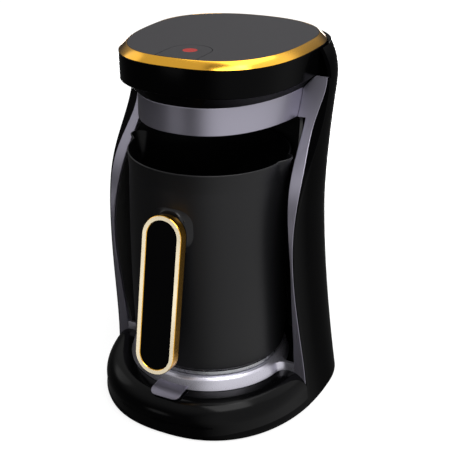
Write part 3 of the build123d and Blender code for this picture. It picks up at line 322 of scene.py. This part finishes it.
slotMaterials = {
    "black_gloss": glossBlack, "black_matte": matteBlack, "charcoal_satin": charcoalLacquer,
    "anthracite": anthracitePaint, "gold": goldTrim, "jug_black": jugCoating, "plate_steel": brushedSteel,
    "steel": plainSteel, "aluminium": plainAluminium, "rubber": mouldedRubber, "silicone": siliconeSeal,
    "circuit_board": solderMask, "connector_plastic": paleNylon, "clear_window": clearWindow,
    "led_red": redLens,
}
ownMaterials = {"handle_inlay": satinBlack, "cavity_wall": nicheAbs}
nodeSlots = {entry["node"]: entry["material_slot"] for entry in frame["record"]["subparts"]}
for nodeName, node in frame["nodes"].items():
    node.data.materials.clear()
    node.data.materials.append(ownMaterials.get(nodeName, slotMaterials[nodeSlots[nodeName]]))
print("coffee maker: materials assigned")

# rear shell: the body outline behind the wing edge, one row of points at each height, right half then left
rearShell = {"rows": 130, "columns": 72, "frameDepth": 3.0, "wall": 2.4}
z = np.linspace(heights["foot"], heights["rimBottom"], rearShell["rows"])[:, None]
size = bodyAt(z)
startAngle = eggAngle(wingY(z) + rearShell["frameDepth"], size)
u = np.linspace(0, 1, rearShell["columns"])[None, :]
x, y = eggPoint(startAngle + (math.pi / 2 - startAngle) * u, size)
right = np.stack([x, y, z + 0 * u], -1)
left = right[:, -2::-1] * np.array([-1, 1, 1])
shell = gridMesh("rearShellSurface", np.concatenate([right, left], axis=1), sharp=40)
wallThickness(shell, rearShell["wall"])

# vents low on the back, and the hole for the cord gland below them
vents = {"count": 6, "pitch": 7.0, "length": 44.0, "height": 2.6, "lowest": 40.0, "glandZ": 14.0,
         "glandRadius": 5.0, "from": 72.0, "to": 96.0}


# outline of a slot in x and z: two half circles joined by straight sides
def slotOutline(length, height, centreZ, steps=14):
    turn = np.linspace(-math.pi / 2, math.pi / 2, steps)
    straightHalf = (length - height) / 2
    end = np.stack([straightHalf + height / 2 * np.cos(turn), height / 2 * np.sin(turn)], -1)
    return np.concatenate([end, -end]) + [0, centreZ]


# cuts prisms with these outlines, from nearY to farY, out of a piece and keeps the result as its own mesh
def cutOut(piece, outlines, nearY, farY, sharp):
    points, faces = [], []
    for outline in outlines:
        n = len(outline)
        near = len(points) + np.arange(n)
        after = np.roll(near, -1)
        for y in (nearY, farY):
            points += np.insert(outline, 1, y, axis=1).tolist()
        faces += np.stack([near, near + n, after + n, after], -1).tolist()
        faces += [near.tolist(), (near + n)[::-1].tolist()]
    cutter = addMesh("cutter", points, faces)
    cut = piece.modifiers.new("cut", "BOOLEAN")
    cut.operation = "DIFFERENCE"
    cut.object = cutter
    whole = bpy.data.meshes.new_from_object(piece.evaluated_get(bpy.context.evaluated_depsgraph_get()))
    piece.modifiers.clear()
    piece.data = whole
    bpy.data.objects.remove(cutter)
    whole.shade_smooth()
    whole.set_sharp_from_angle(angle=math.radians(sharp))


outlines = [slotOutline(vents["length"], vents["height"], vents["lowest"] + vents["pitch"] * i)
            for i in range(vents["count"])]
outlines.append(slotOutline(2 * vents["glandRadius"], 2 * vents["glandRadius"], vents["glandZ"])[:-1])
cutOut(shell, outlines, vents["from"], vents["to"], sharp=35)
finishPiece(shell, "housing", "black_gloss", glossBlack, "rear_shell")
print("coffee maker: shell made,", len(shell.data.polygons), "faces")

# side strips of the frame from the tails to the head, with slightly broken edges, and beside each the black
# lip of the shell, which is widest under the hood: lip + lipSwell * exp(-((z - lipZ) / lipSpread) ^ 2)
strip = {"depth": 3.0, "edge": 0.45, "outerEdge": 0.2, "leastEdges": 2.2, "tailX": 71.5, "tailTopX": 64.0,
         "tailZ": 15.0, "lip": 0.8, "lipSwell": 5.3, "lipZ": 197.0, "lipSpread": 23.0, "lipSink": 0.25,
         "lipEdge": 0.1, "sideRows": 90, "neckRows": 16}
hair = 1e-3  # two rows this close make a step


# inner side of the strip at height z: tail, cavity, neck, then a blend from neck to head
def stripInner(z, y):
    inner = np.where(z < strip["tailZ"], strip["tailX"], strip["tailTopX"])
    inner = np.where(z >= heights["deck"], cavityHalf(z), inner)
    neckX = eggHalf(y, neckSizes)
    inner = np.where(z >= heights["neckBottom"], neckX, inner)
    blend = np.clip((z - heights["neckTop"]) / (heights["headBottom"] - heights["neckTop"]), 0, 1)
    return np.where(z > heights["neckTop"], neckX * (1 - blend) + eggHalf(y, headSizes) * blend, inner)


z = np.concatenate([[heights["foot"], strip["tailZ"] - hair, strip["tailZ"], heights["deck"] - hair],
                    np.linspace(heights["deck"], heights["neckBottom"] - hair, strip["sideRows"]),
                    np.linspace(heights["neckBottom"], heights["headBottom"], strip["neckRows"])])
frontY = wingY(z)
rearY = frontY + strip["depth"]
edge = strip["edge"]
outerFront = eggHalf(frontY, bodyAt(z))
outerRear = eggHalf(rearY, bodyAt(z))
inner = np.minimum(stripInner(z, frontY), outerFront - strip["leastEdges"] * edge)
lip = strip["lip"] + strip["lipSwell"] * np.exp(-((z - strip["lipZ"]) / strip["lipSpread"]) ** 2)
outer = np.maximum(outerFront - lip, inner + 2 * edge)
stripSection = [(inner + edge, frontY), (outer - strip["outerEdge"], frontY),
                (outer, frontY + strip["outerEdge"]), (outer, rearY), (inner, rearY), (inner, frontY + edge)]
lipSection = [(outer, frontY + strip["lipSink"]), (outerFront - edge / 2, frontY + strip["lipEdge"]),
              (outerFront, frontY + edge), (outerRear, rearY), (outer, rearY)]
for section, name, slotName, material in ((stripSection, "frameStrip", "anthracite", anthracitePaint),
                                          (lipSection, "shellLip", "black_gloss", glossBlack)):
    rings = np.stack([np.stack([x, y, z], -1) for x, y in section], axis=1)
    for side, sideName in ((1, "Right"), (-1, "Left")):
        piece = gridMesh(name + sideName, rings * np.array([side, 1, 1]), closeRow=True, caps=True,
                         flip=side < 0, sharp=25)
        nodes = ["trim_frame"] if piece.name == "frameStripRight" else []
        finishPiece(piece, "housing", slotName, material, *nodes)

# neck band: an upright wall round the neck outline, its top edge sunk behind the head's taper
band = {"wall": 2.2, "edge": 0.4, "seamInset": 0.3, "seamDrop": 0.2}
seamZ = heights["neckTop"] + band["edge"]
profile = [(seamZ, band["wall"]), (seamZ, band["seamInset"]), (heights["neckTop"] - band["seamDrop"], 0.0),
           (heights["neckBottom"] + band["edge"], 0.0), (heights["neckBottom"], band["edge"]),
           (heights["neckBottom"], band["wall"])]
rings = np.stack([eggLoop(neckSizes, inset, level) for level, inset in profile])
piece = gridMesh("neckBand", rings, closeRow=True, closeColumn=True, flip=True, sharp=25)
finishPiece(piece, "housing", "anthracite", anthracitePaint)

# head housing: the neck outline opens out to the head's upright wall, whose lower edge is a quarter round
headWall = {"wall": 2.2, "edge": 1.2, "taperInset": 1.92, "taperDrop": 0.25, "topEdge": 0.35, "rows": 6}
loops = [eggLoop(neckSizes, band["seamInset"], heights["neckTop"]),
         eggLoop(headSizes, headWall["taperInset"], heights["headBottom"] - headWall["taperDrop"])]
for turn in np.linspace(0, math.pi / 2, headWall["rows"]):
    inset = headWall["edge"] * (1 - math.sin(turn))
    loops.append(eggLoop(headSizes, inset, heights["headBottom"] + headWall["edge"] * (1 - math.cos(turn))))
loops += [eggLoop(headSizes, 0.0, heights["rimBottom"] - headWall["topEdge"]),
          eggLoop(headSizes, headWall["topEdge"], heights["rimBottom"]),
          eggLoop(headSizes, headWall["wall"], heights["rimBottom"]),
          eggLoop(headSizes, headWall["wall"], heights["headBottom"] + headWall["wall"])]
piece = gridMesh("headSurface", np.stack(loops), closeRow=True, caps=True, sharp=35)
finishPiece(piece, "housing", "black_gloss", glossBlack, "head_housing")
secondMaterial(piece, satinBlack, slice(len(loops[0])))  # the first row of faces is the taper

# gold rim of the head: bevel, narrow land and the ledge under the top plate, with broken edges
rim = {"bevel": 4.5, "land": 0.6, "ledge": 3.0, "edge": 0.22, "footInset": 0.25, "bevelInset": 0.15,
       "plateSeat": 248.0, "count": 240, "buttonHalf": 13.4, "buttonGap": 0.4, "buttonStep": 0.05}
edge = rim["edge"]
landEnd = rim["bevel"] + rim["land"]
profile = [
    (heights["rimBottom"], rim["footInset"]), (heights["rimBottom"] + edge, 0.0),
    (heights["rimBottom"] + 2 * edge, rim["bevelInset"]), (heights["top"] - edge, rim["bevel"] - edge),
    (heights["top"], rim["bevel"] + edge / 2), (heights["top"], landEnd - edge / 2),
    (heights["top"] - edge, landEnd), (rim["plateSeat"], landEnd), (rim["plateSeat"], landEnd + rim["ledge"]),
    (heights["rimBottom"], landEnd + rim["ledge"]),
]
rings = np.stack([eggLoop(headSizes, inset, level, rim["count"]) for level, inset in profile])
# where the button passes, the ledge draws back to the land
underButton = (np.abs(rings[..., 0]) < rim["buttonHalf"] + 2 * rim["buttonGap"]) & (rings[..., 1] < 0)
landRow, ledgeRows = 7, (8, 9)
for row in ledgeRows:
    drawnBack = rings[landRow] * np.array([1, 1, 0]) + rings[row] * np.array([0, 0, 1])
    drawnBack[:, 1] += rim["buttonStep"]
    rings[row] = np.where(underButton[row][:, None], drawnBack, rings[row])
piece = gridMesh("goldHeadRim", rings, closeRow=True, closeColumn=True, sharp=25)
finishPiece(piece, "housing", "gold", goldTrim, "head_rim")

# return spring of the button: a round wire on a coil, whose point at turn u and wire angle v is
# radius + wire cos v out from the axis and pitch * u + wire sin v up; the real spring shortens as the button
# goes down, this mesh keeps one length
spring = {"x": -9.2, "y": -33.0, "bottom": 237.653, "top": 247.947, "radius": 2.7, "wire": 0.35, "turns": 4.0,
          "press": 1.2, "rings": 145, "sides": 10}
springHeight = spring["top"] - spring["bottom"]
u = np.linspace(0, 1, spring["rings"])[:, None]
v = np.linspace(0, 2 * math.pi, spring["sides"], endpoint=False)[None, :]
radius = spring["radius"] + spring["wire"] * np.cos(v)
turn = 2 * math.pi * spring["turns"] * u
climb = spring["bottom"] + spring["wire"] + (springHeight - 2 * spring["wire"]) * u
points = np.stack([spring["x"] + radius * np.cos(turn), spring["y"] + radius * np.sin(turn),
                   climb + spring["wire"] * np.sin(v)], -1)
piece = gridMesh("coilSpring", points, closeRow=True, caps=True, flip=True, sharp=60)
finishPiece(piece, "housing", "steel", plainSteel, "button_spring")
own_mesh(piece)
print("coffee maker: head and frame strips made")

# front of the base: the body outline leans out to a shoulder, which rolls in to the deck as a quarter ellipse
baseFront = {"draft": 1.8, "shoulder": 12.0, "shoulderZ": 15.0, "skin": 0.1, "wallRows": 8, "rollRows": 22,
             "deckRows": (10, 24), "columns": 90, "wingGap": 0.05}
shoulderFront = bodySizes["front"] - baseFront["draft"]
shoulderRise = heights["deck"] - baseFront["shoulderZ"]
rows = []
for level in np.linspace(heights["foot"], baseFront["shoulderZ"], baseFront["wallRows"]):
    share = (level - heights["foot"]) / (baseFront["shoulderZ"] - heights["foot"])
    rows.append((level, -baseFront["skin"], bodySizes["front"] - baseFront["draft"] * share))
for turn in np.linspace(0, math.pi / 2, baseFront["rollRows"])[1:]:
    inset = baseFront["shoulder"] * (1 - math.cos(turn)) - baseFront["skin"]
    rows.append((baseFront["shoulderZ"] + shoulderRise * math.sin(turn), inset, shoulderFront))
rows += [(heights["deck"] + baseFront["skin"], baseFront["shoulder"] + run, shoulderFront)
         for run in baseFront["deckRows"]]
u = np.linspace(0, 1, baseFront["columns"])
grid = []
for level, inset, frontY in rows:
    size = bodyAt(np.array(level), frontY)
    endAngle = float(eggAngle(np.array(wingY(level) - baseFront["wingGap"]), size, inset))
    x, y = eggPoint(-math.pi / 2 + (endAngle + math.pi / 2) * u, size, inset)
    half = np.stack([x, y, np.full_like(x, level)], -1)
    grid.append(np.concatenate([half[::-1] * np.array([-1, 1, 1]), half[1:]]))
piece = gridMesh("baseFrontSurface", np.stack(grid), sharp=40)
finishPiece(piece, "housing", "black_gloss", footBlack)

# base ring: an outline of (radius, z) with broken corners, turned about the jug's axis
baseRing = {"foot": 56.5, "segments": 160,
            "outline": [(50.0, 28.0), (56.2, 28.0), (56.5, 28.4), (54.65, 34.5), (54.1, 35.35), (52.9, 36.55),
                        (52.2, 36.8), (50.3, 36.8), (50.0, 36.4)]}
angle = np.linspace(0, 2 * math.pi, baseRing["segments"], endpoint=False)
radius, level = (column[:, None] for column in np.array(baseRing["outline"]).T)
points = np.stack([radius * np.cos(angle), jugY + radius * np.sin(angle), level + 0 * angle], -1)
piece = gridMesh("baseRing", points, closeRow=True, closeColumn=True, sharp=25)
# the ring takes the lighter copy of the frame's paint, a painted highlight
finishPiece(piece, "housing", "anthracite", highlightedRingPaint)

# webs: in plan a bar between the ring and the strip, with fillets that run on to the ring
web = {"top": 34.0, "edge": 0.5, "edgeInset": 0.35, "depth": 6.0, "x": 68.0, "front": -12.5, "rear": -10.1,
       "ringRadius": 54.7, "fillet": 7.0, "filletSteps": 12, "rootShare": 0.95}
middle = (web["front"] + web["rear"]) / 2 - jugY
loops = []
for level in (heights["deck"], web["top"] - web["edge"], web["top"]):
    radius = np.interp(level, (heights["deck"], web["top"]), (baseRing["foot"], web["ringRadius"]))
    sides = []
    for lineY, sign in ((web["front"] - jugY, -1), (web["rear"] - jugY, 1)):
        offset = lineY + sign * web["fillet"]
        centre = np.array([math.sqrt((radius + web["fillet"]) ** 2 - offset ** 2), offset])
        onRing = centre * radius / (radius + web["fillet"])
        start = math.atan2(*(onRing - centre)[::-1])
        end = math.atan2(lineY - offset, 0.0)
        if abs(end - start) > math.pi:
            end += math.copysign(2 * math.pi, start - end)
        turn = np.linspace(start, end, web["filletSteps"])
        arc = centre + web["fillet"] * np.stack([np.cos(turn), np.sin(turn)], -1)
        sides.append(np.concatenate([(onRing * web["rootShare"])[None], arc, [[web["x"], lineY]]]))
    loop = np.concatenate([sides[0], sides[1][::-1]])
    if level == web["top"]:
        loop[:, 1] = middle + (loop[:, 1] - middle) * (1 - web["edgeInset"] / web["depth"])
    loops.append(np.concatenate([loop + [0, jugY], np.full((len(loop), 1), level)], axis=1))
for side, name in ((1, "webRight"), (-1, "webLeft")):
    piece = gridMesh(name, np.stack(loops) * np.array([side, 1, 1]), closeRow=True, caps=True, flip=side < 0)
    # the webs take the same lighter copy of the paint, a painted highlight
    finishPiece(piece, "housing", "anthracite", highlightedRingPaint)

# tongue over the shoulder of the base: rows run down the shoulder, columns run across; it follows the bow of
# the base, reach * (|x| / half) ^ power / power, and ends in two rounded corners
tongue = {"half": 10.8, "thickness": 1.4, "bottomZ": 27.3, "corner": 4.0, "under": 0.1, "root": 2.0,
          "rows": 24, "columns": 25, "bowReach": 105, "bowHalf": 77.0, "edge": 0.25}
centreY = shoulderFront + baseFront["shoulder"]
outerReach = baseFront["shoulder"] + tongue["thickness"]
outerRise = shoulderRise + tongue["thickness"]
drop = math.asin((tongue["bottomZ"] - baseFront["shoulderZ"]) / outerRise)
turn = np.concatenate([[math.pi / 2] * 2, np.linspace(math.pi / 2, drop, tongue["rows"])])
rowY = centreY - outerReach * np.cos(turn)
rowZ = baseFront["shoulderZ"] + outerRise * np.sin(turn)
rowY[0] = jugY - baseRing["foot"] + tongue["root"]
rowY[1] = (rowY[0] + rowY[2]) / 2
rise = np.clip((turn - drop) * outerReach / tongue["corner"], 0, 1)
rowHalf = tongue["half"] - tongue["corner"] * (1 - np.sqrt(np.clip(1 - (1 - rise) ** 2, 0, 1)))
x = rowHalf[:, None] * np.linspace(-1, 1, tongue["columns"])
power = bodySizes["frontPower"]
bow = tongue["bowReach"] * (np.abs(x) / tongue["bowHalf"]) ** power / power
points = np.stack([x, rowY[:, None] + bow * np.cos(turn)[:, None] ** 0.5, rowZ[:, None] + 0 * x], -1)
piece = gridMesh("frameTongue", points)
wallThickness(piece, tongue["thickness"] - tongue["under"])
bevel = piece.modifiers.new("edge", "BEVEL")
bevel.width = tongue["edge"] * mm
bevel.segments = 2
bevel.limit_method = "ANGLE"
# the tongue takes the darker copy of the frame's paint, painted shade
finishPiece(piece, "housing", "anthracite", shadedTonguePaint)
print("coffee maker: base made")

# jug: one closed skin of revolution with two pouring lips
jug = {"bottom": 40.1, "belly": 53.8, "bellyZ": 105.0, "bulge": 1600.0, "throatZ": 168.0, "flare": 1.0,
       "flarePower": 1.5, "rimZ": 181.0, "wall": 1.2, "corner": 4.0, "innerCorner": 2.8, "cornerRows": 8,
       "bottomShares": (0.25, 0.6, 0.9), "floorShares": (0.8, 0.4, 0.1), "wallRows": 110, "rowPower": 0.8,
       "rimRows": 9, "segments": 288}
lips = {"centre": 50.6, "radius": 8.0, "footRadius": 0.5, "lean": 1.0, "depth": 26.0, "rise": 1.6,
        "blend": 1.2, "riseAngle": 0.155}


# radius of the jug: the large arc up to the throat, then a small flare to the rim
def jugRadius(z):
    aboveBelly = np.minimum(z, jug["throatZ"]) - jug["bellyZ"]
    arc = jug["belly"] - jug["bulge"] + np.sqrt(jug["bulge"] ** 2 - aboveBelly ** 2)
    share = np.clip((z - jug["throatZ"]) / (jug["rimZ"] - jug["throatZ"]), 0, 2)
    return arc + jug["flare"] * share ** jug["flarePower"]


# angle from the nearer of the two lips
def foldedAngle(angle):
    return np.minimum(np.abs(angle), math.pi - np.abs(angle))


# radius with the lips: the far side of a circle of radius s centred at distance c, which is
# c cos a + sqrt(s^2 - c^2 sin^2 a), joined to the wall by a smooth maximum,
# wall + blend * log(1 + exp((lip - wall) / blend))
def jugWall(angle, z):
    share = np.clip((z - jug["rimZ"] + lips["depth"]) / (lips["depth"] + lips["rise"]), 0, 1)
    s = lips["footRadius"] + (lips["radius"] - lips["footRadius"]) * share
    c = lips["centre"] - lips["lean"] * (1 - share)
    a = foldedAngle(angle)
    under = s ** 2 - (c * np.sin(a)) ** 2
    wall = jugRadius(z)
    lip = np.where(under > 0, c * np.cos(a) + np.sqrt(np.maximum(under, 0)), wall - 5 * lips["blend"])
    return wall + lips["blend"] * np.log1p(np.exp(np.clip((lip - wall) / lips["blend"], -30, 30)))


angle = np.linspace(-math.pi, math.pi, jug["segments"], endpoint=False)[None, :]
rimHalf = jug["wall"] / 2
rimTop = jug["rimZ"] + lips["rise"] * np.exp(-(foldedAngle(angle) / lips["riseAngle"]) ** 4)
footZ = jug["bottom"] + jug["corner"]


# a level ring of the jug, with one radius and height all round
def levelRing(radius, z):
    return np.broadcast_to(np.array([[radius, z]]), (angle.size, 2))


# (radius, z) of every ring: out along the bottom, round the corner, up the wall, over the rim, down the
# inside, round its corner and in along the floor
bottomRadius = jugRadius(footZ) - jug["corner"]
rings = [levelRing(bottomRadius * share, jug["bottom"]) for share in jug["bottomShares"]]
for turn in np.linspace(0, math.pi / 2, jug["cornerRows"]):
    radius = jugRadius(footZ) - jug["corner"] * (1 - math.sin(turn))
    rings.append(levelRing(radius, footZ - jug["corner"] * math.cos(turn)))
t = np.linspace(0, 1, jug["wallRows"])[:, None]
wallZ = footZ + (rimTop - rimHalf - footZ) * t ** jug["rowPower"]
wallR = jugWall(angle, wallZ)
rings += list(np.stack([wallR, wallZ], -1)[1:])
for turn in np.linspace(0, math.pi, jug["rimRows"])[1:]:
    rings.append(np.stack([wallR[-1] - rimHalf * (1 - np.cos(turn)), wallZ[-1] + rimHalf * np.sin(turn)], -1))
rings += list(np.stack([wallR - jug["wall"], np.maximum(wallZ, footZ)], -1)[-2:0:-1])
innerFoot = jugRadius(footZ) - jug["wall"]
for turn in np.linspace(math.pi / 2, 0, jug["cornerRows"]):
    radius = innerFoot - jug["innerCorner"] * (1 - math.sin(turn))
    rings.append(levelRing(radius, footZ - jug["innerCorner"] * math.cos(turn)))
rings += [levelRing(innerFoot * share, footZ - jug["innerCorner"]) for share in jug["floorShares"]]
radius, level = np.moveaxis(np.stack(rings), -1, 0)
points = np.stack([radius * np.cos(angle), jugY + radius * np.sin(angle), level], -1)
piece = gridMesh("jugSkin", points, closeRow=True, caps=True, sharp=60)
finishPiece(piece, "jug", "jug_black", jugCoating, "jug_body")

# handle of the jug: pill-shaped loops on a plane that leans back
handle = {"length": 105.0, "width": 27.4, "lean": 10.0, "bottomZ": 53.0, "frontY": -90.0, "ringWidth": 3.2,
          "ringDepth": 6.7, "pocket": 1.4, "backDepth": 9.3, "edge": 0.35, "backEdge": 1.9, "backGap": 0.15,
          "backRows": 8}
lean = math.radians(handle["lean"])
upward = np.array([0, math.sin(lean), math.cos(lean)])
outward = np.array([0, -math.cos(lean), math.sin(lean)])
handleMiddle = np.array([0, handle["frontY"], handle["bottomZ"]]) + upward * handle["length"] / 2
straight = (handle["length"] - handle["width"]) / 2


# pill loop of radius r at a depth behind the handle's face: two half circles joined by straight sides
def pill(radius, depth, arcSteps=32, sideSteps=14):
    turn = np.linspace(-math.pi / 2, math.pi / 2, arcSteps)
    upper = np.stack([radius * np.sin(turn), straight + radius * np.cos(turn)], -1)
    side = np.linspace(1, -1, sideSteps)[1:-1]
    down = np.stack([np.full_like(side, radius), side * straight], -1)
    loop = np.concatenate([upper, down, -upper, -down])
    return handleMiddle + loop[:, :1] * np.array([1, 0, 0]) + loop[:, 1:] * upward - depth * outward


# gold ring
outerHalf = handle["width"] / 2
innerHalf = outerHalf - handle["ringWidth"]
edge = handle["edge"]
profile = [(outerHalf - edge, 0), (outerHalf, edge), (outerHalf, handle["ringDepth"]),
           (innerHalf, handle["ringDepth"]), (innerHalf, edge), (innerHalf + edge, 0)]
loops = np.stack([pill(radius, depth) for radius, depth in profile])
piece = gridMesh("goldHandleRing", loops, closeRow=True, closeColumn=True, flip=True, sharp=25)
finishPiece(piece, "jug", "gold", goldTrim, "handle_ring")
# the flat front takes the paled gold, a painted highlight
secondMaterial(piece, highlightedGold, slice(-loops.shape[1], None))  # the last row of faces is the flat front

# back of the handle, with a rounded rear edge and a pocket for the inlay
backHalf = outerHalf - handle["backGap"]
pocketHalf = innerHalf - handle["backGap"]
loops = [pill(pocketHalf, handle["pocket"]), pill(pocketHalf, handle["ringDepth"]),
         pill(backHalf, handle["ringDepth"])]
for turn in np.linspace(0, math.pi / 2, handle["backRows"]):
    loops.append(pill(backHalf - handle["backEdge"] * (1 - math.cos(turn)),
                      handle["backDepth"] - handle["backEdge"] * (1 - math.sin(turn))))
piece = gridMesh("handleBack", np.stack(loops), closeRow=True, caps=True, flip=True, sharp=35)
finishPiece(piece, "jug", "black_gloss", glossBlack, "handle_core")

# saddle: a rounded block that opens out from the handle to the jug's wall; each loop is a superellipse,
# x = halfX |cos| ^ corner, z = halfZ |sin| ^ corner
saddle = {"half": 8.5, "jugHalf": 15.5, "low": 131.0, "high": 157.0, "spread": 2.0, "flarePower": 2.2,
          "corner": 0.7, "startDepth": 8.6, "overlap": 0.3, "rows": 14, "segments": 96}
turn = np.linspace(0, 2 * math.pi, saddle["segments"], endpoint=False)
cosT, sinT = np.cos(turn), np.sin(turn)
loops = []
for share in np.linspace(0, 1, saddle["rows"]):
    flare = share ** saddle["flarePower"]
    halfX = saddle["half"] + (saddle["jugHalf"] - saddle["half"]) * flare
    halfZ = (saddle["high"] - saddle["low"]) / 2 + saddle["spread"] * (flare - 0.5)
    x = halfX * np.sign(cosT) * np.abs(cosT) ** saddle["corner"]
    z = (saddle["high"] + saddle["low"]) / 2 + halfZ * np.sign(sinT) * np.abs(sinT) ** saddle["corner"]
    startY = handle["frontY"] + (z - handle["bottomZ"]) * math.tan(lean) + saddle["startDepth"] / math.cos(lean)
    endY = jugY - np.sqrt(jugRadius(z) ** 2 - x ** 2) + saddle["overlap"]
    loops.append(np.stack([x, startY + (endY - startY) * share, z], -1))
piece = gridMesh("handleSaddle", np.stack(loops), closeRow=True, caps=True, sharp=50)
finishPiece(piece, "jug", "black_gloss", saddleBlack)
print("coffee maker: jug and handle made")

# pale floor, white to the camera at its far edge, with the object's shadow
stage = {"size": 6.0, "nearLevel": 0.86, "farLevel": 1.0, "near": 0.3, "far": 1.1}
corners = np.array([[-1, -1, 0], [1, -1, 0], [1, 1, 0], [-1, 1, 0]])
floor = addMesh("paleFloor", corners * stage["size"] / 2 / mm, [[0, 1, 2, 3]])
floorMaterial, tree, shader, place = plainMaterial("palePaperFloor", "#959595", {
    "Roughness": 0.9, "Specular IOR Level": 0.0, "Emission Color": srgb("#ffffff")})


# 1 for the rays that find the backdrop white: seen straight, mirrored or through the window
def whiteRays(tree):
    path = addNode(tree, "ShaderNodeLightPath")
    mirrored = addNode(tree, "ShaderNodeMath", {0: (path, "Is Glossy Ray"), 1: (path, "Is Transmission Ray")},
                       operation="MAXIMUM")
    return path, addNode(tree, "ShaderNodeMath", {0: (path, "Is Camera Ray"), 1: (mirrored, 0)},
                         operation="MAXIMUM")


path, seen = whiteRays(tree)
away = addNode(tree, "ShaderNodeVectorMath", {0: (place, "Object")}, operation="LENGTH")
whiteness = addNode(tree, "ShaderNodeMapRange", {
    "Value": (away, "Value"), "From Min": stage["near"], "From Max": stage["far"],
    "To Min": stage["nearLevel"], "To Max": stage["farLevel"]})
glow = addNode(tree, "ShaderNodeMath", {0: (seen, 0), 1: (whiteness, 0)}, operation="MULTIPLY")
tree.links.new(glow.outputs[0], shader.inputs["Emission Strength"])
floor.data.materials.append(floorMaterial)
floor.visible_glossy = False  # mirrored rays pass through it to the surroundings

# surroundings: white to the camera and a weak even fill; mirrored rays find a pale ceiling with a darker gap
# over the front, and soft cards
world = bpy.data.worlds.new("studio")
bpy.context.scene.world = world
world.use_nodes = True
tree = world.node_tree
tree.nodes.clear()
path, seen = whiteRays(tree)
direction = addNode(tree, "ShaderNodeTexCoord")
fillLevel = 0.12
ceilingCard = ((0, 0, 1), (0.0, 0.8), (0.05, 0.75))
ceilingGap = ((0.1, -0.27, 0.95), (0.95, 0.985), (1.0, 0.35))
cards = [((0.97, -0.24, 0.0), (0.15, 0.8), (0.0, 1.0)),  # right: sheen of the jug, neck band and strips
         ((0.5, 0.4, 0.77), (0.8, 0.95), (0.0, 1.5)),  # above right: right side of the gold rim
         ((-0.85, 0.1, 0.5), (0.94, 0.985), (0.0, 1.4)),  # above left: left side of the gold rim
         ((-0.38, 0.9, -0.25), (0.95, 0.99), (0.0, 9.0)),  # low behind: glancing shine on the shell's edges
         ((-0.45, -0.868, -0.195), (0.99, 0.997), (0.0, 1.3))]  # low in front: face of the handle's ring


# brightness that rises from low to high as a ray's direction comes nearer to a card's, by the cosine
# between them
def softCard(toward, cosines, levels):
    length = math.sqrt(sum(t * t for t in toward))
    near = addNode(tree, "ShaderNodeVectorMath", {0: (direction, "Generated"), 1: [t / length for t in toward]},
                   operation="DOT_PRODUCT")
    return addNode(tree, "ShaderNodeMapRange", {"Value": (near, "Value"), "From Min": cosines[0],
                                                "From Max": cosines[1], "To Min": levels[0],
                                                "To Max": levels[1]}, interpolation_type="SMOOTHSTEP")


mirrored = addNode(tree, "ShaderNodeMath", {0: (softCard(*ceilingCard), 0), 1: (softCard(*ceilingGap), 0)},
                   operation="MULTIPLY")
for card in cards:
    mirrored = addNode(tree, "ShaderNodeMath", {0: (mirrored, 0), 1: (softCard(*card), 0)}, operation="MAXIMUM")
strength = addNode(tree, "ShaderNodeMath", {0: (path, "Is Camera Ray"), 1: (mirrored, 0)}, operation="MAXIMUM")
fill = addNode(tree, "ShaderNodeBackground", {"Color": srgb("#ffffff"), "Strength": fillLevel})
backdrop = addNode(tree, "ShaderNodeBackground", {"Color": srgb("#ffffff"), "Strength": (strength, 0)})
mixed = addNode(tree, "ShaderNodeMixShader", {0: (seen, 0), 1: (fill, 0), 2: (backdrop, 0)})
addNode(tree, "ShaderNodeOutputWorld", {"Surface": (mixed, 0)})

# two white area lamps, aimed at the middle of the object
lamps = {"overheadBox": {"place": (0.0, 0.4, 1.4), "size": (1.2, 1.0), "power": 8},
         "rightBox": {"place": (0.52, -0.36, 1.12), "size": (0.8, 0.8), "power": 10}}
lampAim = (0, 0, 0.1)
for name, values in lamps.items():
    lampData = bpy.data.lights.new(name, "AREA")
    lampData.shape = "RECTANGLE"
    lampData.size, lampData.size_y = values["size"]
    lampData.energy = values["power"]
    lamp = bpy.data.objects.new(name, lampData)
    lamp.location = values["place"]
    lamp.rotation_euler = (Vector(lampAim) - Vector(values["place"])).to_track_quat("-Z", "Y").to_euler()
    lamp.visible_camera = False
    bpy.context.scene.collection.objects.link(lamp)
print("coffee maker: floor and light made")

# camera: three-quarter view from the front right and above
view = {"place": (0.2608, -0.5203, 0.3872), "azimuth": 27.0, "yaw": 1.03, "pitch": 24.59, "lens": 74.46}
azimuth, yaw, pitch = (math.radians(view[key]) for key in ("azimuth", "yaw", "pitch"))
straightOn = np.array([-math.sin(azimuth), math.cos(azimuth)])
sideways = np.array([math.cos(azimuth), math.sin(azimuth)])
level = straightOn * math.cos(yaw) + sideways * math.sin(yaw)
forward = Vector((*(level * math.cos(pitch)), -math.sin(pitch)))
cameraData = bpy.data.cameras.new("camera")
cameraData.lens = view["lens"]
cameraData.sensor_width = 36.0
camera = bpy.data.objects.new("camera", cameraData)
camera.location = view["place"]
camera.rotation_euler = forward.to_track_quat("-Z", "Y").to_euler()
bpy.context.scene.collection.objects.link(camera)
bpy.context.scene.camera = camera

bpy.context.scene.view_settings.view_transform = "Standard"
print("coffee maker: ready")
